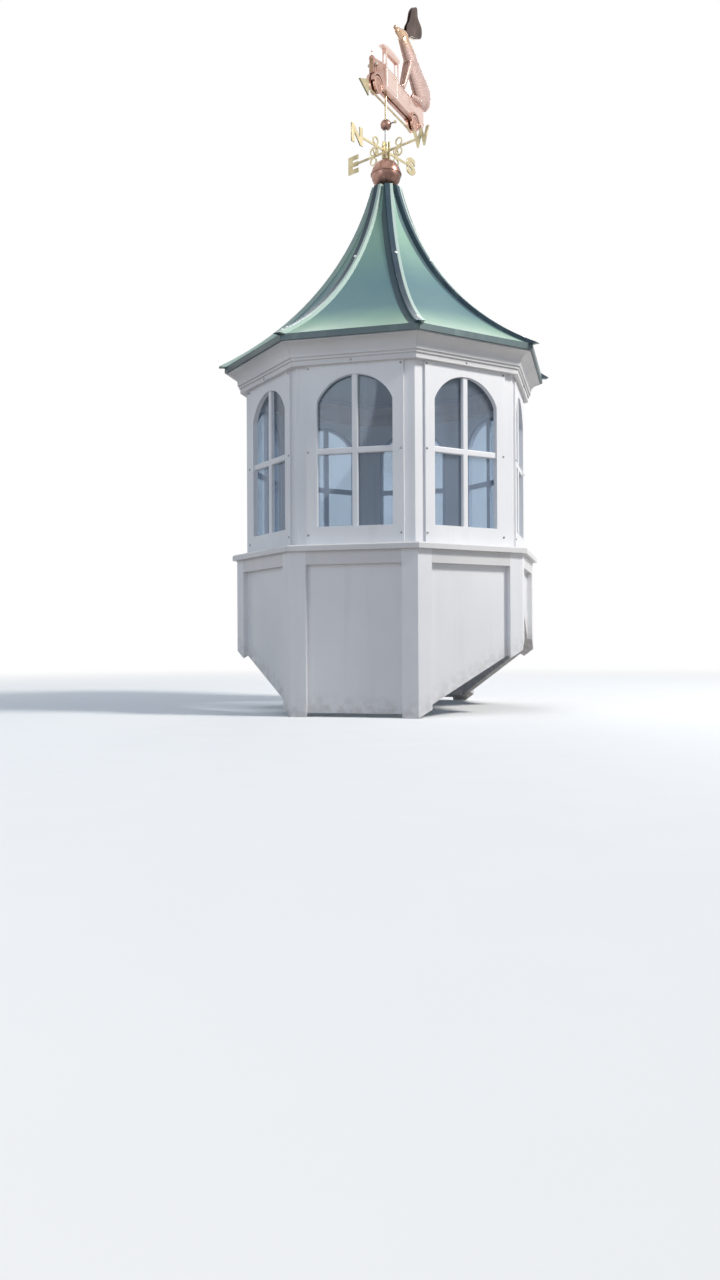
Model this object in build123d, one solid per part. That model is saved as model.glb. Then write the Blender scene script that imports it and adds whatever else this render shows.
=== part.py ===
"""Octagonal garage cupola: saddle base, arched windows, bell roof and a copper weathervane.

Units are millimetres, +Z is up. The origin is on the cupola's own axis, at the level of the
lowest edges of the base. The front of the cupola faces -Y.
"""
import math
import os

from build123d import *

# Eight sides
SIDES = ["front", "front_right", "right", "back_right", "back", "back_left", "left", "front_left"]
SIDE_TURN = 45.0
HALF_TURN = 22.5

# Saddle base that straddles the ridge of a pitched roof
base_across = 1118.0
base_height = 587.0
ridge_rise = 396.0
trim_thickness = 19.0
base_panel_thickness = 15.0
corner_board_width = 58.0
base_rail_height = 48.0

# Sill between the base and the windows
sill_across = 1151.0
sill_thickness = 22.0
sill_depth = 96.0
sill_edge = 5.0

# Window storey
window_across = 1044.0
window_height = 640.0
post_thickness = 26.0
window_post_width = 38.7195
window_panel_thickness = 19.0
window_panel_relief = 8.0
opening_width = 276.0
opening_bottom = 66.0
opening_head = 38.0
opening_rise = 92.0
bar_width = 22.0
bar_depth = 14.0
bar_round = 4.0
cross_bar_height = 334.0
glass_thickness = 4.0
glass_lap = 12.0

# Crown moulding and eave
plate_thickness = 32.0
crown_height = 79.0
crown_foot = 22.5
crown_foot_height = 18.0
crown_steps = 3
crown_step = 5.0
crown_step_height = 10.0
crown_lip = 5.0
crown_hollow = 9.0
crown_reach = 70.0
eave_across = 1202.0
eave_thickness = 22.0
eave_width = 90.0

# Bell roof
roof_height = 741.0
roof_top_across = 92.0
roof_curve_radius = 1164.0
roof_thickness = 12.0
hip_cap_width = 32.0
hip_cap_height = 10.0

# Finial and mast
block_height = 60.0
block_clearance = 0.5
ball_radius = 60.0
ball_wall = 2.5
seam_reach = 2.5
seam_height = 5.0
mast_diameter = 12.0
mast_fit = 0.2
mast_depth = 110.0
hub_diameter = 24.0
hub_height = 69.0
arm_azimuth = -116.0
arm_length = 152.0
arm_thickness = 5.0
arm_bar = 8.0
scroll_radius = 17.0
scroll_wire = 4.5
scroll_place = 66.0
spacer_radius = 22.0
spacer_height = 73.0
screw_length = 26.0
screw_diameter = 5.0
screw_azimuth = -20.0
scroll_lap = 1.0

# Turning vane
vane_azimuth = -104.0
spindle_diameter = 6.4
tube_diameter = 9.6
tube_bore = 6.6
tube_gap = 1.5
tube_cap = 3.0
tube_seat = 8.0
tip_gap = 0.3
rod_rise = 57.0
rod_diameter = 8.5
rod_front = 152.0
rod_back = 232.0
head_length = 74.0
head_height = 64.0
head_thickness = 6.0

# Truck on the vane, with lengths along the arrow from the mast
truck_width = 18.0
frame_rise = 48.0
frame_thickness = 14.0
frame_width = 8.0
truck_wall = 2.5
nose_place = 116.0
cab_front = 12.0
cab_back = -103.0
bed_back = -345.0
bed_height = 74.0
bed_rail = 4.0
bed_rail_reach = 1.5
bed_groove = 2.0
bed_groove_depth = 0.8
bed_groove_spacing = 13.0
cab_height = 161.0
cab_door_height = 90.0
cab_post = 9.0
cab_header = 7.0
roof_edge = 12.0
roof_crown = 5.0
roof_overhang = 1.0
roof_rear_overhang = 8.0
visor_reach = 28.0
visor_edge = 4.0
cowl_side = 89.0
cowl_crown = 100.0
nose_side = 64.0
nose_crown = 77.0
nose_width = 16.0
radiator_width = 20.0
radiator_thickness = 7.0
radiator_rise = 3.0
radiator_lift = 10.0
radiator_rim = 3.0
radiator_recess = 2.0
filler_diameter = 7.0
filler_height = 19.0
lamp_diameter = 11.0
lamp_length = 16.0
lamp_place = 112.0
lamp_rise = 38.0
lamp_stem = 4.0
lamp_gap = 0.5
wheel_radius = 33.0
wheel_thickness = 11.0
wheel_lap = 7.0
wheel_dish = 1.5
tyre_height = 9.0
hub_cap_radius = 8.0
axle_diameter = 6.0
hanger_thickness = 2.0
front_wheel = 90.0
rear_wheel = -250.0
wheel_clearance = 3.5
fender_thickness = 9.0
fender_reach = 8.0
fender_tail = 44.0
fender_bend = 0.85
step_thickness = 7.0
step_drop = 6.0
step_gap = 1.0

# Dog in the back of the truck
body_flatness = 0.45
neck_flatness = 0.6
head_flatness = 0.6
nose_flatness = 0.9
leg_flatness = 0.8
haunch_radius = 72.0
haunch_place = -346.0
haunch_height = 76.0
chest_radius = 48.0
chest_place = -232.0
chest_height = 166.0
throat_radius = 46.0
neck_radius = 33.0
neck_place = -170.0
neck_height = 214.0
skull_radius = 31.0
skull_place = -170.0
skull_height = 228.0
muzzle_radius = 17.0
muzzle_length = 58.0
muzzle_drop = 2.0
bridge_radius = 10.2
nose_radius = 9.0
nose_reach = 20.0
nose_lift = 4.0
shoulder_radius = 19.2
thigh_radius = 20.4
heel_height = 12.0
paw_radius = 8.0
toe_radius = 7.0
paw_length = 16.0
leg_spread = 8.0
hind_spread = 11.2
elbow_reach = 24.0
front_paw_place = -150.0
leg_top = 130.0
hind_paw_place = -228.0
hind_paw_length = 64.0
ear_length = 166.0
ear_width = 112.0
ear_lean = 42.0
ear_second_lean = 41.0
ear_rise = 27.0
ear_spread = 5.5
ear_thickness = 4.0
ear_fold_radius = 6.0
ear_fold_tip = 4.5
ear_fold_drop = 13.0
ear_fold_reach = 66.0
ear_fold_rise = 28.0

# Outline of an ear from its root, in shares of its width and length: narrow at the head, wide at the end
EAR_OUTLINE = [(-0.1, 0.0), (-0.31, 0.38), (-0.5, 0.82), (-0.25, 0.98), (0.12, 0.95), (0.36, 1.07),
               (0.5, 0.78), (0.3, 0.34), (0.06, -0.02)]

# Values worked out from the ones above
base_half = base_across / 2
roof_pitch = ridge_rise / base_half
panel_face = base_half - trim_thickness
sill_z = base_height
wall_z = sill_z + sill_thickness
window_half = window_across / 2
panel_out = window_half + window_panel_relief
panel_in = panel_out - window_panel_thickness
wall_top = wall_z + window_height
crown_top = wall_top + crown_height
eave_half = eave_across / 2
eave_top = crown_top + eave_thickness
roof_top = eave_top + roof_height
roof_top_half = roof_top_across / 2
ball_z = roof_top + ball_radius
hub_z = ball_z + ball_radius
spacer_z = hub_z + hub_height + spacer_height
tube_z = spacer_z + spacer_radius + tube_gap
rod_z = tube_z + rod_rise - tube_gap
frame_z = rod_z + frame_rise
body_z = frame_z + frame_thickness
deck_z = body_z + bed_height
wheel_z = rod_z + rod_diameter / 2 + wheel_radius + tip_gap
spindle_top = frame_z + tube_seat - tube_cap - tip_gap
truck_half = truck_width / 2
EDGE = math.tan(math.radians(HALF_TURN))
CORNER = 1 / math.cos(math.radians(HALF_TURN))
window_panel_width = 2 * (window_half * EDGE - window_post_width)


def on_side(shape, index):
    """Turn a shape drawn on the front to one of the eight sides."""
    return Rot(0, 0, SIDE_TURN * index) * shape


def octagon(half):
    """Octagon with flats to the front, back and sides, half its size across the flats."""
    return Rot(0, 0, HALF_TURN) * RegularPolygon(half * CORNER, 8)


def ring(outer, inner, z, height):
    """Octagonal ring between two half sizes across the flats."""
    return extrude(Pos(0, 0, z) * (octagon(outer) - octagon(inner)), height)


def prism(points, z, height):
    """Upright prism on a plan polygon."""
    return extrude(Pos(0, 0, z) * make_face(Polyline(*points, close=True)), height)


def slab(outer, thickness, z, height):
    """One front wall slab with mitred ends."""
    inner = outer - thickness
    points = [(-outer * EDGE, -outer), (outer * EDGE, -outer),
              (inner * EDGE, -inner), (-inner * EDGE, -inner)]
    return prism(points, z, height)


def board(outer, thickness, width, z, height):
    """One front board with square ends."""
    return Pos(0, thickness / 2 - outer, z + height / 2) * Box(width, thickness, height)


def folded_corner(outer, thickness, width, z, height):
    """Corner piece folded round the corner between the front and the front right side."""
    inner = outer - thickness
    reach = outer * EDGE - width
    front = [(reach, -outer), (outer * EDGE, -outer), (inner * EDGE, -inner), (reach, -inner)]
    turn = math.radians(SIDE_TURN)
    side = [(-x * math.cos(turn) - y * math.sin(turn), -x * math.sin(turn) + y * math.cos(turn))
            for x, y in front]
    return prism([front[0], front[1], side[0], side[3], front[2], front[3]], z, height)


def mitred(section):
    """Front length of a moulding, from its section drawn as (distance from the axis, height)."""
    length = Rot(0, 0, -90) * extrude(Plane.XZ * section, eave_half * EDGE, both=True)
    wedge = prism([(0, 0), (-eave_half * 2 * EDGE, -eave_half * 2), (eave_half * 2 * EDGE, -eave_half * 2)],
                  0, roof_top + ball_radius)
    return length & wedge


def house_roof():
    """Ridge of the roof that the base sits over, as the solid to cut away."""
    spread = base_half * 2
    points = [(-spread, -base_half * roof_pitch), (0, ridge_rise), (spread, -base_half * roof_pitch),
              (spread, -spread), (-spread, -spread)]
    return extrude(Plane.YZ * make_face(Polyline(*points, close=True)), spread, both=True)


def arch(width, bottom, spring, rise):
    """Window outline in the front plane: straight sides under a segmental arch."""
    half = width / 2
    outline = [Line((-half, bottom), (half, bottom)), Line((half, bottom), (half, spring)),
               ThreePointArc((half, spring), (0, spring + rise), (-half, spring)),
               Line((-half, spring), (-half, bottom))]
    return make_face(outline)


def stand(face, outer, depth):
    """Extrude a face drawn in the front plane inwards from its outer distance."""
    return extrude(Plane.XZ.offset(outer) * face, -depth)


def rounded_front(bar, spread):
    """Round the two long front edges of a bar that lie apart along an axis."""
    front = bar.faces().sort_by(Axis.Y)[0].edges()
    return fillet([front.sort_by(spread)[0], front.sort_by(spread)[-1]], bar_round)


def base_parts():
    """Panels, corner boards and top rails of the saddle base."""
    roof = house_roof()
    parts = {}
    panel = slab(panel_face, base_panel_thickness, -ridge_rise, base_height + ridge_rise)
    rail_width = 2 * (base_half * EDGE - corner_board_width)
    rail = board(base_half, trim_thickness, rail_width, base_height - base_rail_height, base_rail_height)
    corner = folded_corner(base_half, trim_thickness, corner_board_width, -ridge_rise,
                           base_height + ridge_rise)
    for index, side in enumerate(SIDES):
        parts["base_panel_" + side] = on_side(panel, index) - roof
    parts["base_corner_boards"] = Compound([on_side(corner, i) - roof for i in range(8)])
    parts["base_top_rails"] = Compound([on_side(rail, i) for i in range(8)])
    return parts


def sill():
    """Sill ring with an eased outer edge."""
    solid = ring(sill_across / 2, sill_across / 2 - sill_depth, sill_z, sill_thickness)
    outer = [e for e in solid.edges().filter_by(GeomType.LINE)
             if abs(e.center().Z - wall_z) < 0.01 and Vector(e.center().X, e.center().Y).length > window_half]
    return chamfer(outer, sill_edge)


def window_parts():
    """Arched window panels, corner posts, glazing bars and panes."""
    spring = wall_top - opening_head - opening_rise
    opening = arch(opening_width, wall_z + opening_bottom, spring, opening_rise)
    sheet = arch(opening_width + 2 * glass_lap, wall_z + opening_bottom - glass_lap, spring,
                 opening_rise + glass_lap)
    panel = board(panel_out, window_panel_thickness, window_panel_width, wall_z, window_height)
    panel -= stand(opening, panel_out, window_panel_thickness)
    cross_z = wall_z + cross_bar_height
    bar_face = panel_in + bar_depth
    upright = stand(Pos(0, cross_z) * Rectangle(bar_width, window_height * 2), bar_face, bar_depth)
    cross = stand(Pos(0, cross_z) * Rectangle(window_panel_width, bar_width), bar_face, bar_depth)
    bars = rounded_front(upright, Axis.X) + rounded_front(cross, Axis.Z)
    bars &= stand(opening, bar_face, bar_depth)
    pane = stand(sheet, panel_in, glass_thickness)
    post = folded_corner(window_half, post_thickness, window_post_width, wall_z, window_height)
    pieces = {"window_panels": panel, "window_posts": post, "window_bars": bars, "window_panes": pane}
    return {name: Compound([on_side(piece, i) for i in range(8)]) for name, piece in pieces.items()}


def crown():
    """Crown moulding: a foot band, small steps and a large cove under the eave."""
    back = window_half
    reach = back + crown_reach
    points = [(back, wall_top), (back + crown_foot, wall_top)]
    for step in range(crown_steps):
        face = back + crown_foot + crown_step * step
        top = wall_top + crown_foot_height + crown_step_height * step
        points += [(face, top), (face + crown_step, top)]
    points.pop()
    start = points[-1]
    cove_top = crown_top - crown_lip
    middle = ((start[0] + reach - crown_hollow) / 2, (start[1] + cove_top) / 2 + crown_hollow)
    cove = ThreePointArc(start, middle, (reach, cove_top))
    close = Polyline(cove @ 1, (reach, crown_top), (back, crown_top), points[0])
    length = mitred(make_face([*Polyline(*points).edges(), cove, *close.edges()]))
    whole = length
    for index in range(1, 8):
        whole += on_side(length, index)
    return whole


def roof_curve_centre():
    """Centre of the arc that the concave roof line follows, as (distance from the axis, height)."""
    run = eave_half - roof_top_half
    chord = math.hypot(run, roof_height)
    reach = math.sqrt(roof_curve_radius ** 2 - chord ** 2 / 4)
    return ((eave_half + roof_top_half) / 2 + roof_height / chord * reach,
            (eave_top + roof_top) / 2 + run / chord * reach)


def roof_section(extra_in, extra_out):
    """Band along the concave roof line, between two distances from it."""
    band = Circle(roof_curve_radius + extra_in) - Circle(roof_curve_radius - extra_out)
    band = Pos(*roof_curve_centre()) * band
    return band & Pos(eave_half / 2, (eave_top + roof_top) / 2) * Rectangle(eave_half * 1.2, roof_height)


def roof_half_at(z, depth):
    """Half size across the flats of the roof surface at a height, some depth under the outside."""
    centre = roof_curve_centre()
    return centre[0] - math.sqrt((roof_curve_radius + depth) ** 2 - (centre[1] - z) ** 2)


def roof_parts():
    """Eight concave roof panels and the raised caps over their hips."""
    panel = mitred(roof_section(roof_thickness, 0))
    parts = {"roof_panel_" + side: on_side(panel, i) for i, side in enumerate(SIDES)}
    band = scale(roof_section(hip_cap_height, hip_cap_height), (CORNER, 1, 1))
    cap = Rot(0, 0, -90 + HALF_TURN) * extrude(Plane.XZ * band, hip_cap_width / 2, both=True)
    under = mitred(roof_section(hip_cap_height * 5, 0))
    cap -= under + on_side(under, 1)
    parts["hip_caps"] = Compound([on_side(cap, i) for i in range(8)])
    return parts


def finial_parts():
    """Block in the roof top, copper ball, mast, direction arms and spacer ball."""
    bore = mast_diameter / 2 + mast_fit
    block_z = roof_top - block_height
    low = roof_half_at(block_z, roof_thickness) - block_clearance
    high = roof_half_at(roof_top, roof_thickness) - block_clearance
    block = loft([Pos(0, 0, block_z) * octagon(low), Pos(0, 0, roof_top) * octagon(high)])
    hole = Pos(0, 0, roof_top) * Cylinder(bore, roof_height)
    block -= hole
    ball = Pos(0, 0, ball_z) * (Sphere(ball_radius) - Sphere(ball_radius - ball_wall))
    seam = Pos(0, 0, ball_z) * (Cylinder(ball_radius + seam_reach, seam_height)
                                - Cylinder(ball_radius - ball_wall, seam_height))
    ball = (ball + seam) - hole
    mast_low = roof_top - mast_depth
    mast_high = spacer_z + spacer_radius
    mast = Pos(0, 0, (mast_low + mast_high) / 2) * Cylinder(mast_diameter / 2, mast_high - mast_low)
    spindle_length = spindle_top - mast_high
    mast += Pos(0, 0, mast_high + spindle_length / 2) * Cylinder(spindle_diameter / 2, spindle_length)
    hub = Pos(0, 0, hub_z + hub_height / 2) * Cylinder(hub_diameter / 2, hub_height)
    hub -= Pos(0, 0, hub_z + hub_height / 2) * Cylinder(bore, hub_height)
    arm = Pos(arm_length / 2, 0) * Rectangle(arm_length, arm_bar)
    arm += Pos(hub_diameter / 2 + arm_bar / 2, 0) * Rectangle(arm_bar, hub_height)
    for up in (-1, 1):
        loop = Pos(scroll_place, up * (scroll_radius + arm_bar / 2 - scroll_lap))
        arm += loop * (Circle(scroll_radius) - Circle(scroll_radius - scroll_wire))
    arm = extrude(Plane.XZ * (Pos(0, hub_z + hub_height / 2) * arm), arm_thickness / 2, both=True)
    arm -= Pos(0, 0, hub_z + hub_height / 2) * Cylinder(hub_diameter / 2, hub_height * 2)
    spacer = Pos(0, 0, spacer_z) * Sphere(spacer_radius)
    reach = spacer_radius + screw_length
    thumb = Pos(reach / 2, 0, spacer_z) * Rot(0, 90, 0) * Cylinder(screw_diameter / 2, reach)
    spacer += Rot(0, 0, screw_azimuth) * thumb
    spacer -= Pos(0, 0, spacer_z) * Cylinder(bore, 4 * spacer_radius)
    arms = [Rot(0, 0, arm_azimuth + 90 * i) * arm for i in range(4)]
    return {"finial_block": block, "copper_ball": ball, "mast": mast, "direction_hub": hub,
            "direction_arms": Compound(arms), "spacer_ball": spacer}


def box_between(low, high):
    """Box from its lowest to its highest corner."""
    size = [b - a for a, b in zip(low, high)]
    centre = [(a + b) / 2 for a, b in zip(low, high)]
    return Pos(*centre) * Box(*size)


def egg(low, low_radius, high, high_radius):
    """Round form with two ball ends of different size and a straight taper between them."""
    start, end = Vector(*low), Vector(*high)
    gap = (end - start).length
    lean = (low_radius - high_radius) / gap
    side = math.sqrt(1 - lean ** 2)
    outline = [ThreePointArc((0, -low_radius),
                             (low_radius * math.cos((math.asin(lean) - math.pi / 2) / 2),
                              low_radius * math.sin((math.asin(lean) - math.pi / 2) / 2)),
                             (low_radius * side, low_radius * lean)),
               Line((low_radius * side, low_radius * lean), (high_radius * side, gap + high_radius * lean)),
               ThreePointArc((high_radius * side, gap + high_radius * lean),
                             (high_radius * math.cos((math.asin(lean) + math.pi / 2) / 2),
                              gap + high_radius * math.sin((math.asin(lean) + math.pi / 2) / 2)),
                             (0, gap + high_radius)),
               Line((0, gap + high_radius), (0, -low_radius))]
    body = revolve(Plane.XZ * make_face(outline), Axis.Z)
    return Plane(origin=start, z_dir=end - start) * body


def limb(low, low_radius, high, high_radius, spread, flatness):
    """Tapered limb in the vane's upright plane, flattened and moved to one side."""
    form = egg((low[0], 0, low[1]), low_radius, (high[0], 0, high[1]), high_radius)
    return Pos(0, spread, 0) * scale(form, (1, flatness, 1))


def dog_parts():
    """Sitting dog with its ears blown back."""
    haunch = (haunch_place, deck_z + haunch_height)
    chest = (chest_place, deck_z + chest_height)
    skull = (skull_place, deck_z + skull_height)
    muzzle = (skull_place + muzzle_length, skull[1] - muzzle_drop)
    nose = (muzzle[0] + nose_reach, muzzle[1] + nose_lift)
    neck = (neck_place, deck_z + neck_height)
    body = limb(haunch, haunch_radius, chest, chest_radius, 0, body_flatness)
    body += limb(chest, throat_radius, neck, neck_radius, 0, neck_flatness)
    body += limb(skull, skull_radius, muzzle, muzzle_radius, 0, head_flatness)
    body += limb(muzzle, bridge_radius, nose, nose_radius, 0, nose_flatness)
    paw_z = deck_z + paw_radius
    elbow = (chest_place + elbow_reach, deck_z + leg_top)
    ankle = (front_paw_place, paw_z)
    toe = (front_paw_place + paw_length, paw_z)
    heel = (hind_paw_place - hind_paw_length, deck_z + heel_height)
    hind_toe = (hind_paw_place, paw_z)
    for side in (-1, 1):
        body += limb(elbow, shoulder_radius, ankle, paw_radius, side * leg_spread, leg_flatness)
        body += limb(ankle, paw_radius, toe, toe_radius, side * leg_spread, leg_flatness)
        body += limb(heel, thigh_radius, hind_toe, paw_radius, side * hind_spread, leg_flatness)
    root = (skull_place - skull_radius, skull[1] + ear_rise)
    fold = (root[0], root[1] - ear_fold_drop)
    fold_tip = (fold[0] - ear_fold_reach, fold[1] + ear_fold_rise)
    body += limb(fold, ear_fold_radius, fold_tip, ear_fold_tip, 0, nose_flatness)
    body -= box_between((bed_back * 2, -base_half, body_z), (cab_front, base_half, deck_z))
    leaf = make_face(Spline([(ear_width * x, ear_length * y) for x, y in EAR_OUTLINE], periodic=True))
    ears = []
    for side, lean in ((-1, ear_second_lean), (1, ear_lean)):
        ear = extrude(Plane.XZ * Pos(*root) * Rot(0, 0, lean) * leaf, ear_thickness / 2, both=True)
        ears.append(Pos(0, side * ear_spread, 0) * ear - body)
    return {"dog": body, "dog_ears": Compound(ears)}


def arched(half, side, crown):
    """Upright outline with straight sides and an arched top, standing on its own bottom edge."""
    outline = [Line((-half, 0), (half, 0)), Line((half, 0), (half, side)),
               ThreePointArc((half, side), (0, crown), (-half, side)),
               Line((-half, side), (-half, 0))]
    return make_face(outline)


def across(place, height):
    """Plane across the truck at a place along the arrow, looking forwards."""
    return Plane(origin=(place, 0, height), x_dir=(0, 1, 0), z_dir=(1, 0, 0))


def side_view(face, low, high):
    """Extrude an outline drawn in the vane's upright plane between two distances to its left."""
    return extrude(Plane.XZ.offset(-low) * face, -(high - low))


def bonnet_form():
    """Bonnet that narrows and falls towards the radiator."""
    rear = across(cab_front, body_z) * arched(truck_half, cowl_side, cowl_crown)
    front = across(nose_place, body_z) * arched(nose_width / 2, nose_side, nose_crown)
    return loft([rear, front])


def wheel_wells(place):
    """Room for one axle's pair of wheels."""
    room = wheel_radius + wheel_clearance
    pair = Cylinder(room, truck_width * 2) - Cylinder(room, frame_width)
    return Pos(place, 0, wheel_z) * Rot(90, 0, 0) * pair


def truck_radiator():
    """Radiator shell with a sunk core and a filler cap."""
    low = body_z + radiator_lift
    half = radiator_width / 2
    side = nose_side - radiator_lift
    crown = nose_crown + radiator_rise - radiator_lift
    shell = extrude(across(nose_place, low) * arched(half, side, crown), radiator_thickness)
    core = Pos(0, radiator_rim) * arched(half - radiator_rim, side - radiator_rim, crown - 2 * radiator_rim)
    sunk = nose_place + radiator_thickness - radiator_recess
    shell -= extrude(across(sunk, low) * core, radiator_thickness)
    middle = nose_place + radiator_thickness / 2
    filler_foot = low + crown - radiator_rim
    shell += Pos(middle, 0, filler_foot + filler_height / 2) * Cylinder(filler_diameter / 4, filler_height)
    shell += Pos(middle, 0, filler_foot + filler_height) * Sphere(filler_diameter / 2)
    return shell


def truck_cab():
    """Cab shell with open side windows, windscreen and rear window."""
    sill_height = body_z + cab_door_height
    top = body_z + cab_height
    head = top - cab_header
    inner = truck_half - truck_wall
    cowl = body_z + cowl_crown + truck_wall
    cab = box_between((cab_back, -truck_half, body_z), (cab_front, truck_half, top))
    cab -= box_between((cab_back + truck_wall, -inner, body_z), (cab_front - truck_wall, inner, top))
    cab -= box_between((cab_back + cab_post, -truck_width, sill_height),
                       (cab_front - cab_post, truck_width, head))
    cab -= box_between((cab_back - cab_post, -inner, cowl), (cab_front + cab_post, inner, head))
    seam = bed_groove / 2
    low = body_z + bed_groove_spacing
    for side in (-truck_half, truck_half):
        for place in (cab_back + cab_post, cab_front - cab_post):
            cab -= box_between((place - seam / 2, side - bed_groove_depth, low),
                               (place + seam / 2, side + bed_groove_depth, sill_height))
    return cab


def truck_cab_roof():
    """Crowned roof with a thin visor over the windscreen."""
    low = body_z + cab_height
    back = cab_back - roof_rear_overhang
    front = cab_front + visor_reach
    middle = (back + cab_front) / 2
    outline = [Line((back, low), (front, low)), Line((front, low), (front, low + visor_edge)),
               Line((front, low + visor_edge), (cab_front, low + roof_edge)),
               ThreePointArc((cab_front, low + roof_edge), (middle, low + roof_edge + roof_crown),
                             (back, low + roof_edge)),
               Line((back, low + roof_edge), (back, low))]
    half = truck_half + roof_overhang
    return side_view(make_face(outline), -half, half)


def truck_bed():
    """Open box with a top rail and two grooves along each side."""
    front = cab_back
    bed = box_between((bed_back, -truck_half, body_z), (front, truck_half, deck_z))
    half = truck_half + bed_rail_reach
    bed += box_between((bed_back - bed_rail_reach, -half, deck_z - bed_rail), (front, half, deck_z))
    inner = truck_half - truck_wall
    bed -= box_between((bed_back + truck_wall, -inner, body_z + truck_wall),
                       (front - truck_wall, inner, deck_z + bed_rail))
    for side in (-1, 1):
        for height in (bed_groove_spacing, bed_groove_spacing * 2):
            bed -= box_between((bed_back + bed_rail, side * truck_half - bed_groove_depth, body_z + height),
                               (front, side * truck_half + bed_groove_depth, body_z + height + bed_groove))
    return bed - wheel_wells(rear_wheel)


def wheel(place):
    """Axle with a wheel at each end: tyre, sunk disc and hub cap."""
    outer = truck_half + wheel_lap
    inner = outer - wheel_thickness
    rim = wheel_radius - tyre_height
    section = Polyline((0, inner), (wheel_radius - wheel_dish, inner), (wheel_radius, inner + wheel_dish),
                       (wheel_radius, outer - wheel_dish), (wheel_radius - wheel_dish, outer), (rim, outer),
                       (rim - wheel_dish, outer - wheel_dish), (hub_cap_radius, outer - wheel_dish),
                       (hub_cap_radius - wheel_dish, outer), (0, outer), close=True)
    disc = revolve(Plane.XZ * make_face(section), Axis.Z)
    pair = Rot(90, 0, 0) * disc + Rot(-90, 0, 0) * disc
    axle = Rot(90, 0, 0) * Cylinder(axle_diameter / 2, inner * 2)
    return Pos(place, 0, wheel_z) * (pair + axle)


def truck_fenders():
    """One piece on each side: front wing, running board and rear wing."""
    gap = wheel_radius + wheel_clearance
    outer = gap + fender_thickness
    step_z = frame_z - step_drop
    cover = None
    for place in (front_wheel, rear_wheel):
        arch_face = Pos(place, wheel_z) * (Circle(outer) - Circle(gap))
        arch_face &= Pos(place, wheel_z + outer / 2) * Rectangle(outer * 2, outer)
        cover = arch_face if cover is None else cover + arch_face
    top = (front_wheel, wheel_z + outer)
    bend = (front_wheel - outer * fender_bend, wheel_z + outer / 2)
    end = (front_wheel - outer - fender_tail, step_z + step_thickness)
    foot = (front_wheel, step_z)
    tail = make_face([ThreePointArc(top, bend, end), Line(end, foot), Line(foot, top)])
    tail -= Pos(front_wheel, wheel_z) * Circle(gap)
    tail -= Pos(front_wheel + gap, wheel_z) * Rectangle(gap * 2, gap * 2)
    tail &= Pos(front_wheel, step_z + outer * 2) * Rectangle(outer * 6, outer * 4)
    board_start = rear_wheel + gap + step_gap
    board_end = front_wheel - gap - step_gap
    middle = (board_start + board_end) / 2
    length = board_end - board_start
    board = Pos(middle, step_z + step_thickness / 2) * Rectangle(length, step_thickness)
    apron = Pos(middle, (step_z + body_z) / 2) * Rectangle(length, body_z - step_z)
    low = frame_width / 2
    high = truck_half + fender_reach
    one = side_view(cover + tail + board, low, high) + side_view(apron, low, truck_half)
    one -= bonnet_form() + truck_radiator()
    one -= Pos(0, 0, frame_z) * Cylinder(tube_diameter / 2, frame_thickness * 4)
    one -= box_between((bed_back, -truck_half, body_z), (cab_front, truck_half, deck_z))
    return Compound([one, mirror(one, Plane.XZ)])


def truck_headlamps():
    """Two bullet lamps, each on a short stem over its front wing."""
    radius = lamp_diameter / 2
    bowl = [Line((0, 0), (radius, 0)), Line((radius, 0), (radius, lamp_length / 4)),
            ThreePointArc((radius, lamp_length / 4), (radius * 0.7, lamp_length * 0.8), (0, lamp_length)),
            Line((0, lamp_length), (0, 0))]
    lamp = Rot(0, -90, 0) * revolve(Plane.XZ * make_face(bowl), Axis.Z)
    lamp_z = wheel_z + wheel_radius + lamp_rise
    stem_place = lamp_place - lamp_length / 3
    outer = wheel_radius + wheel_clearance + fender_thickness
    fender_top = wheel_z + math.sqrt(outer ** 2 - (stem_place - front_wheel) ** 2)
    stem = box_between((stem_place - lamp_stem / 2, -lamp_stem / 2, fender_top - fender_thickness / 2),
                       (stem_place + lamp_stem / 2, lamp_stem / 2, lamp_z))
    stem -= Pos(front_wheel, 0, wheel_z) * Rot(90, 0, 0) * Cylinder(outer, lamp_stem * 2)
    one = Pos(lamp_place, 0, lamp_z) * lamp + stem
    reach = radiator_width / 2 + lamp_gap + radius
    return Compound([Pos(0, side * reach, 0) * one for side in (-1, 1)])


def truck_parts():
    """Pickup truck: frame, wheels, fenders, bed, cab and bonnet."""
    frame = box_between((bed_back + bed_groove_spacing, -frame_width / 2, frame_z),
                        (nose_place, frame_width / 2, body_z))
    wheels = [wheel(front_wheel), wheel(rear_wheel)]
    for place in (front_wheel, rear_wheel):
        hanger = hanger_thickness / 2
        frame += box_between((place - axle_diameter, -hanger, wheel_z),
                             (place + axle_diameter, hanger, frame_z))
        frame -= Pos(place, 0, wheel_z) * Rot(90, 0, 0) * Cylinder(axle_diameter / 2, frame_width)
    frame -= Pos(0, 0, frame_z) * Cylinder(tube_diameter / 2, tube_seat * 2)
    return {"truck_frame": frame, "truck_wheels": Compound(wheels), "truck_fenders": truck_fenders(),
            "truck_bed": truck_bed(), "truck_cab": truck_cab(), "truck_cab_roof": truck_cab_roof(),
            "truck_bonnet": bonnet_form() - wheel_wells(front_wheel), "truck_radiator": truck_radiator(),
            "truck_headlamps": truck_headlamps()}


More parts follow.
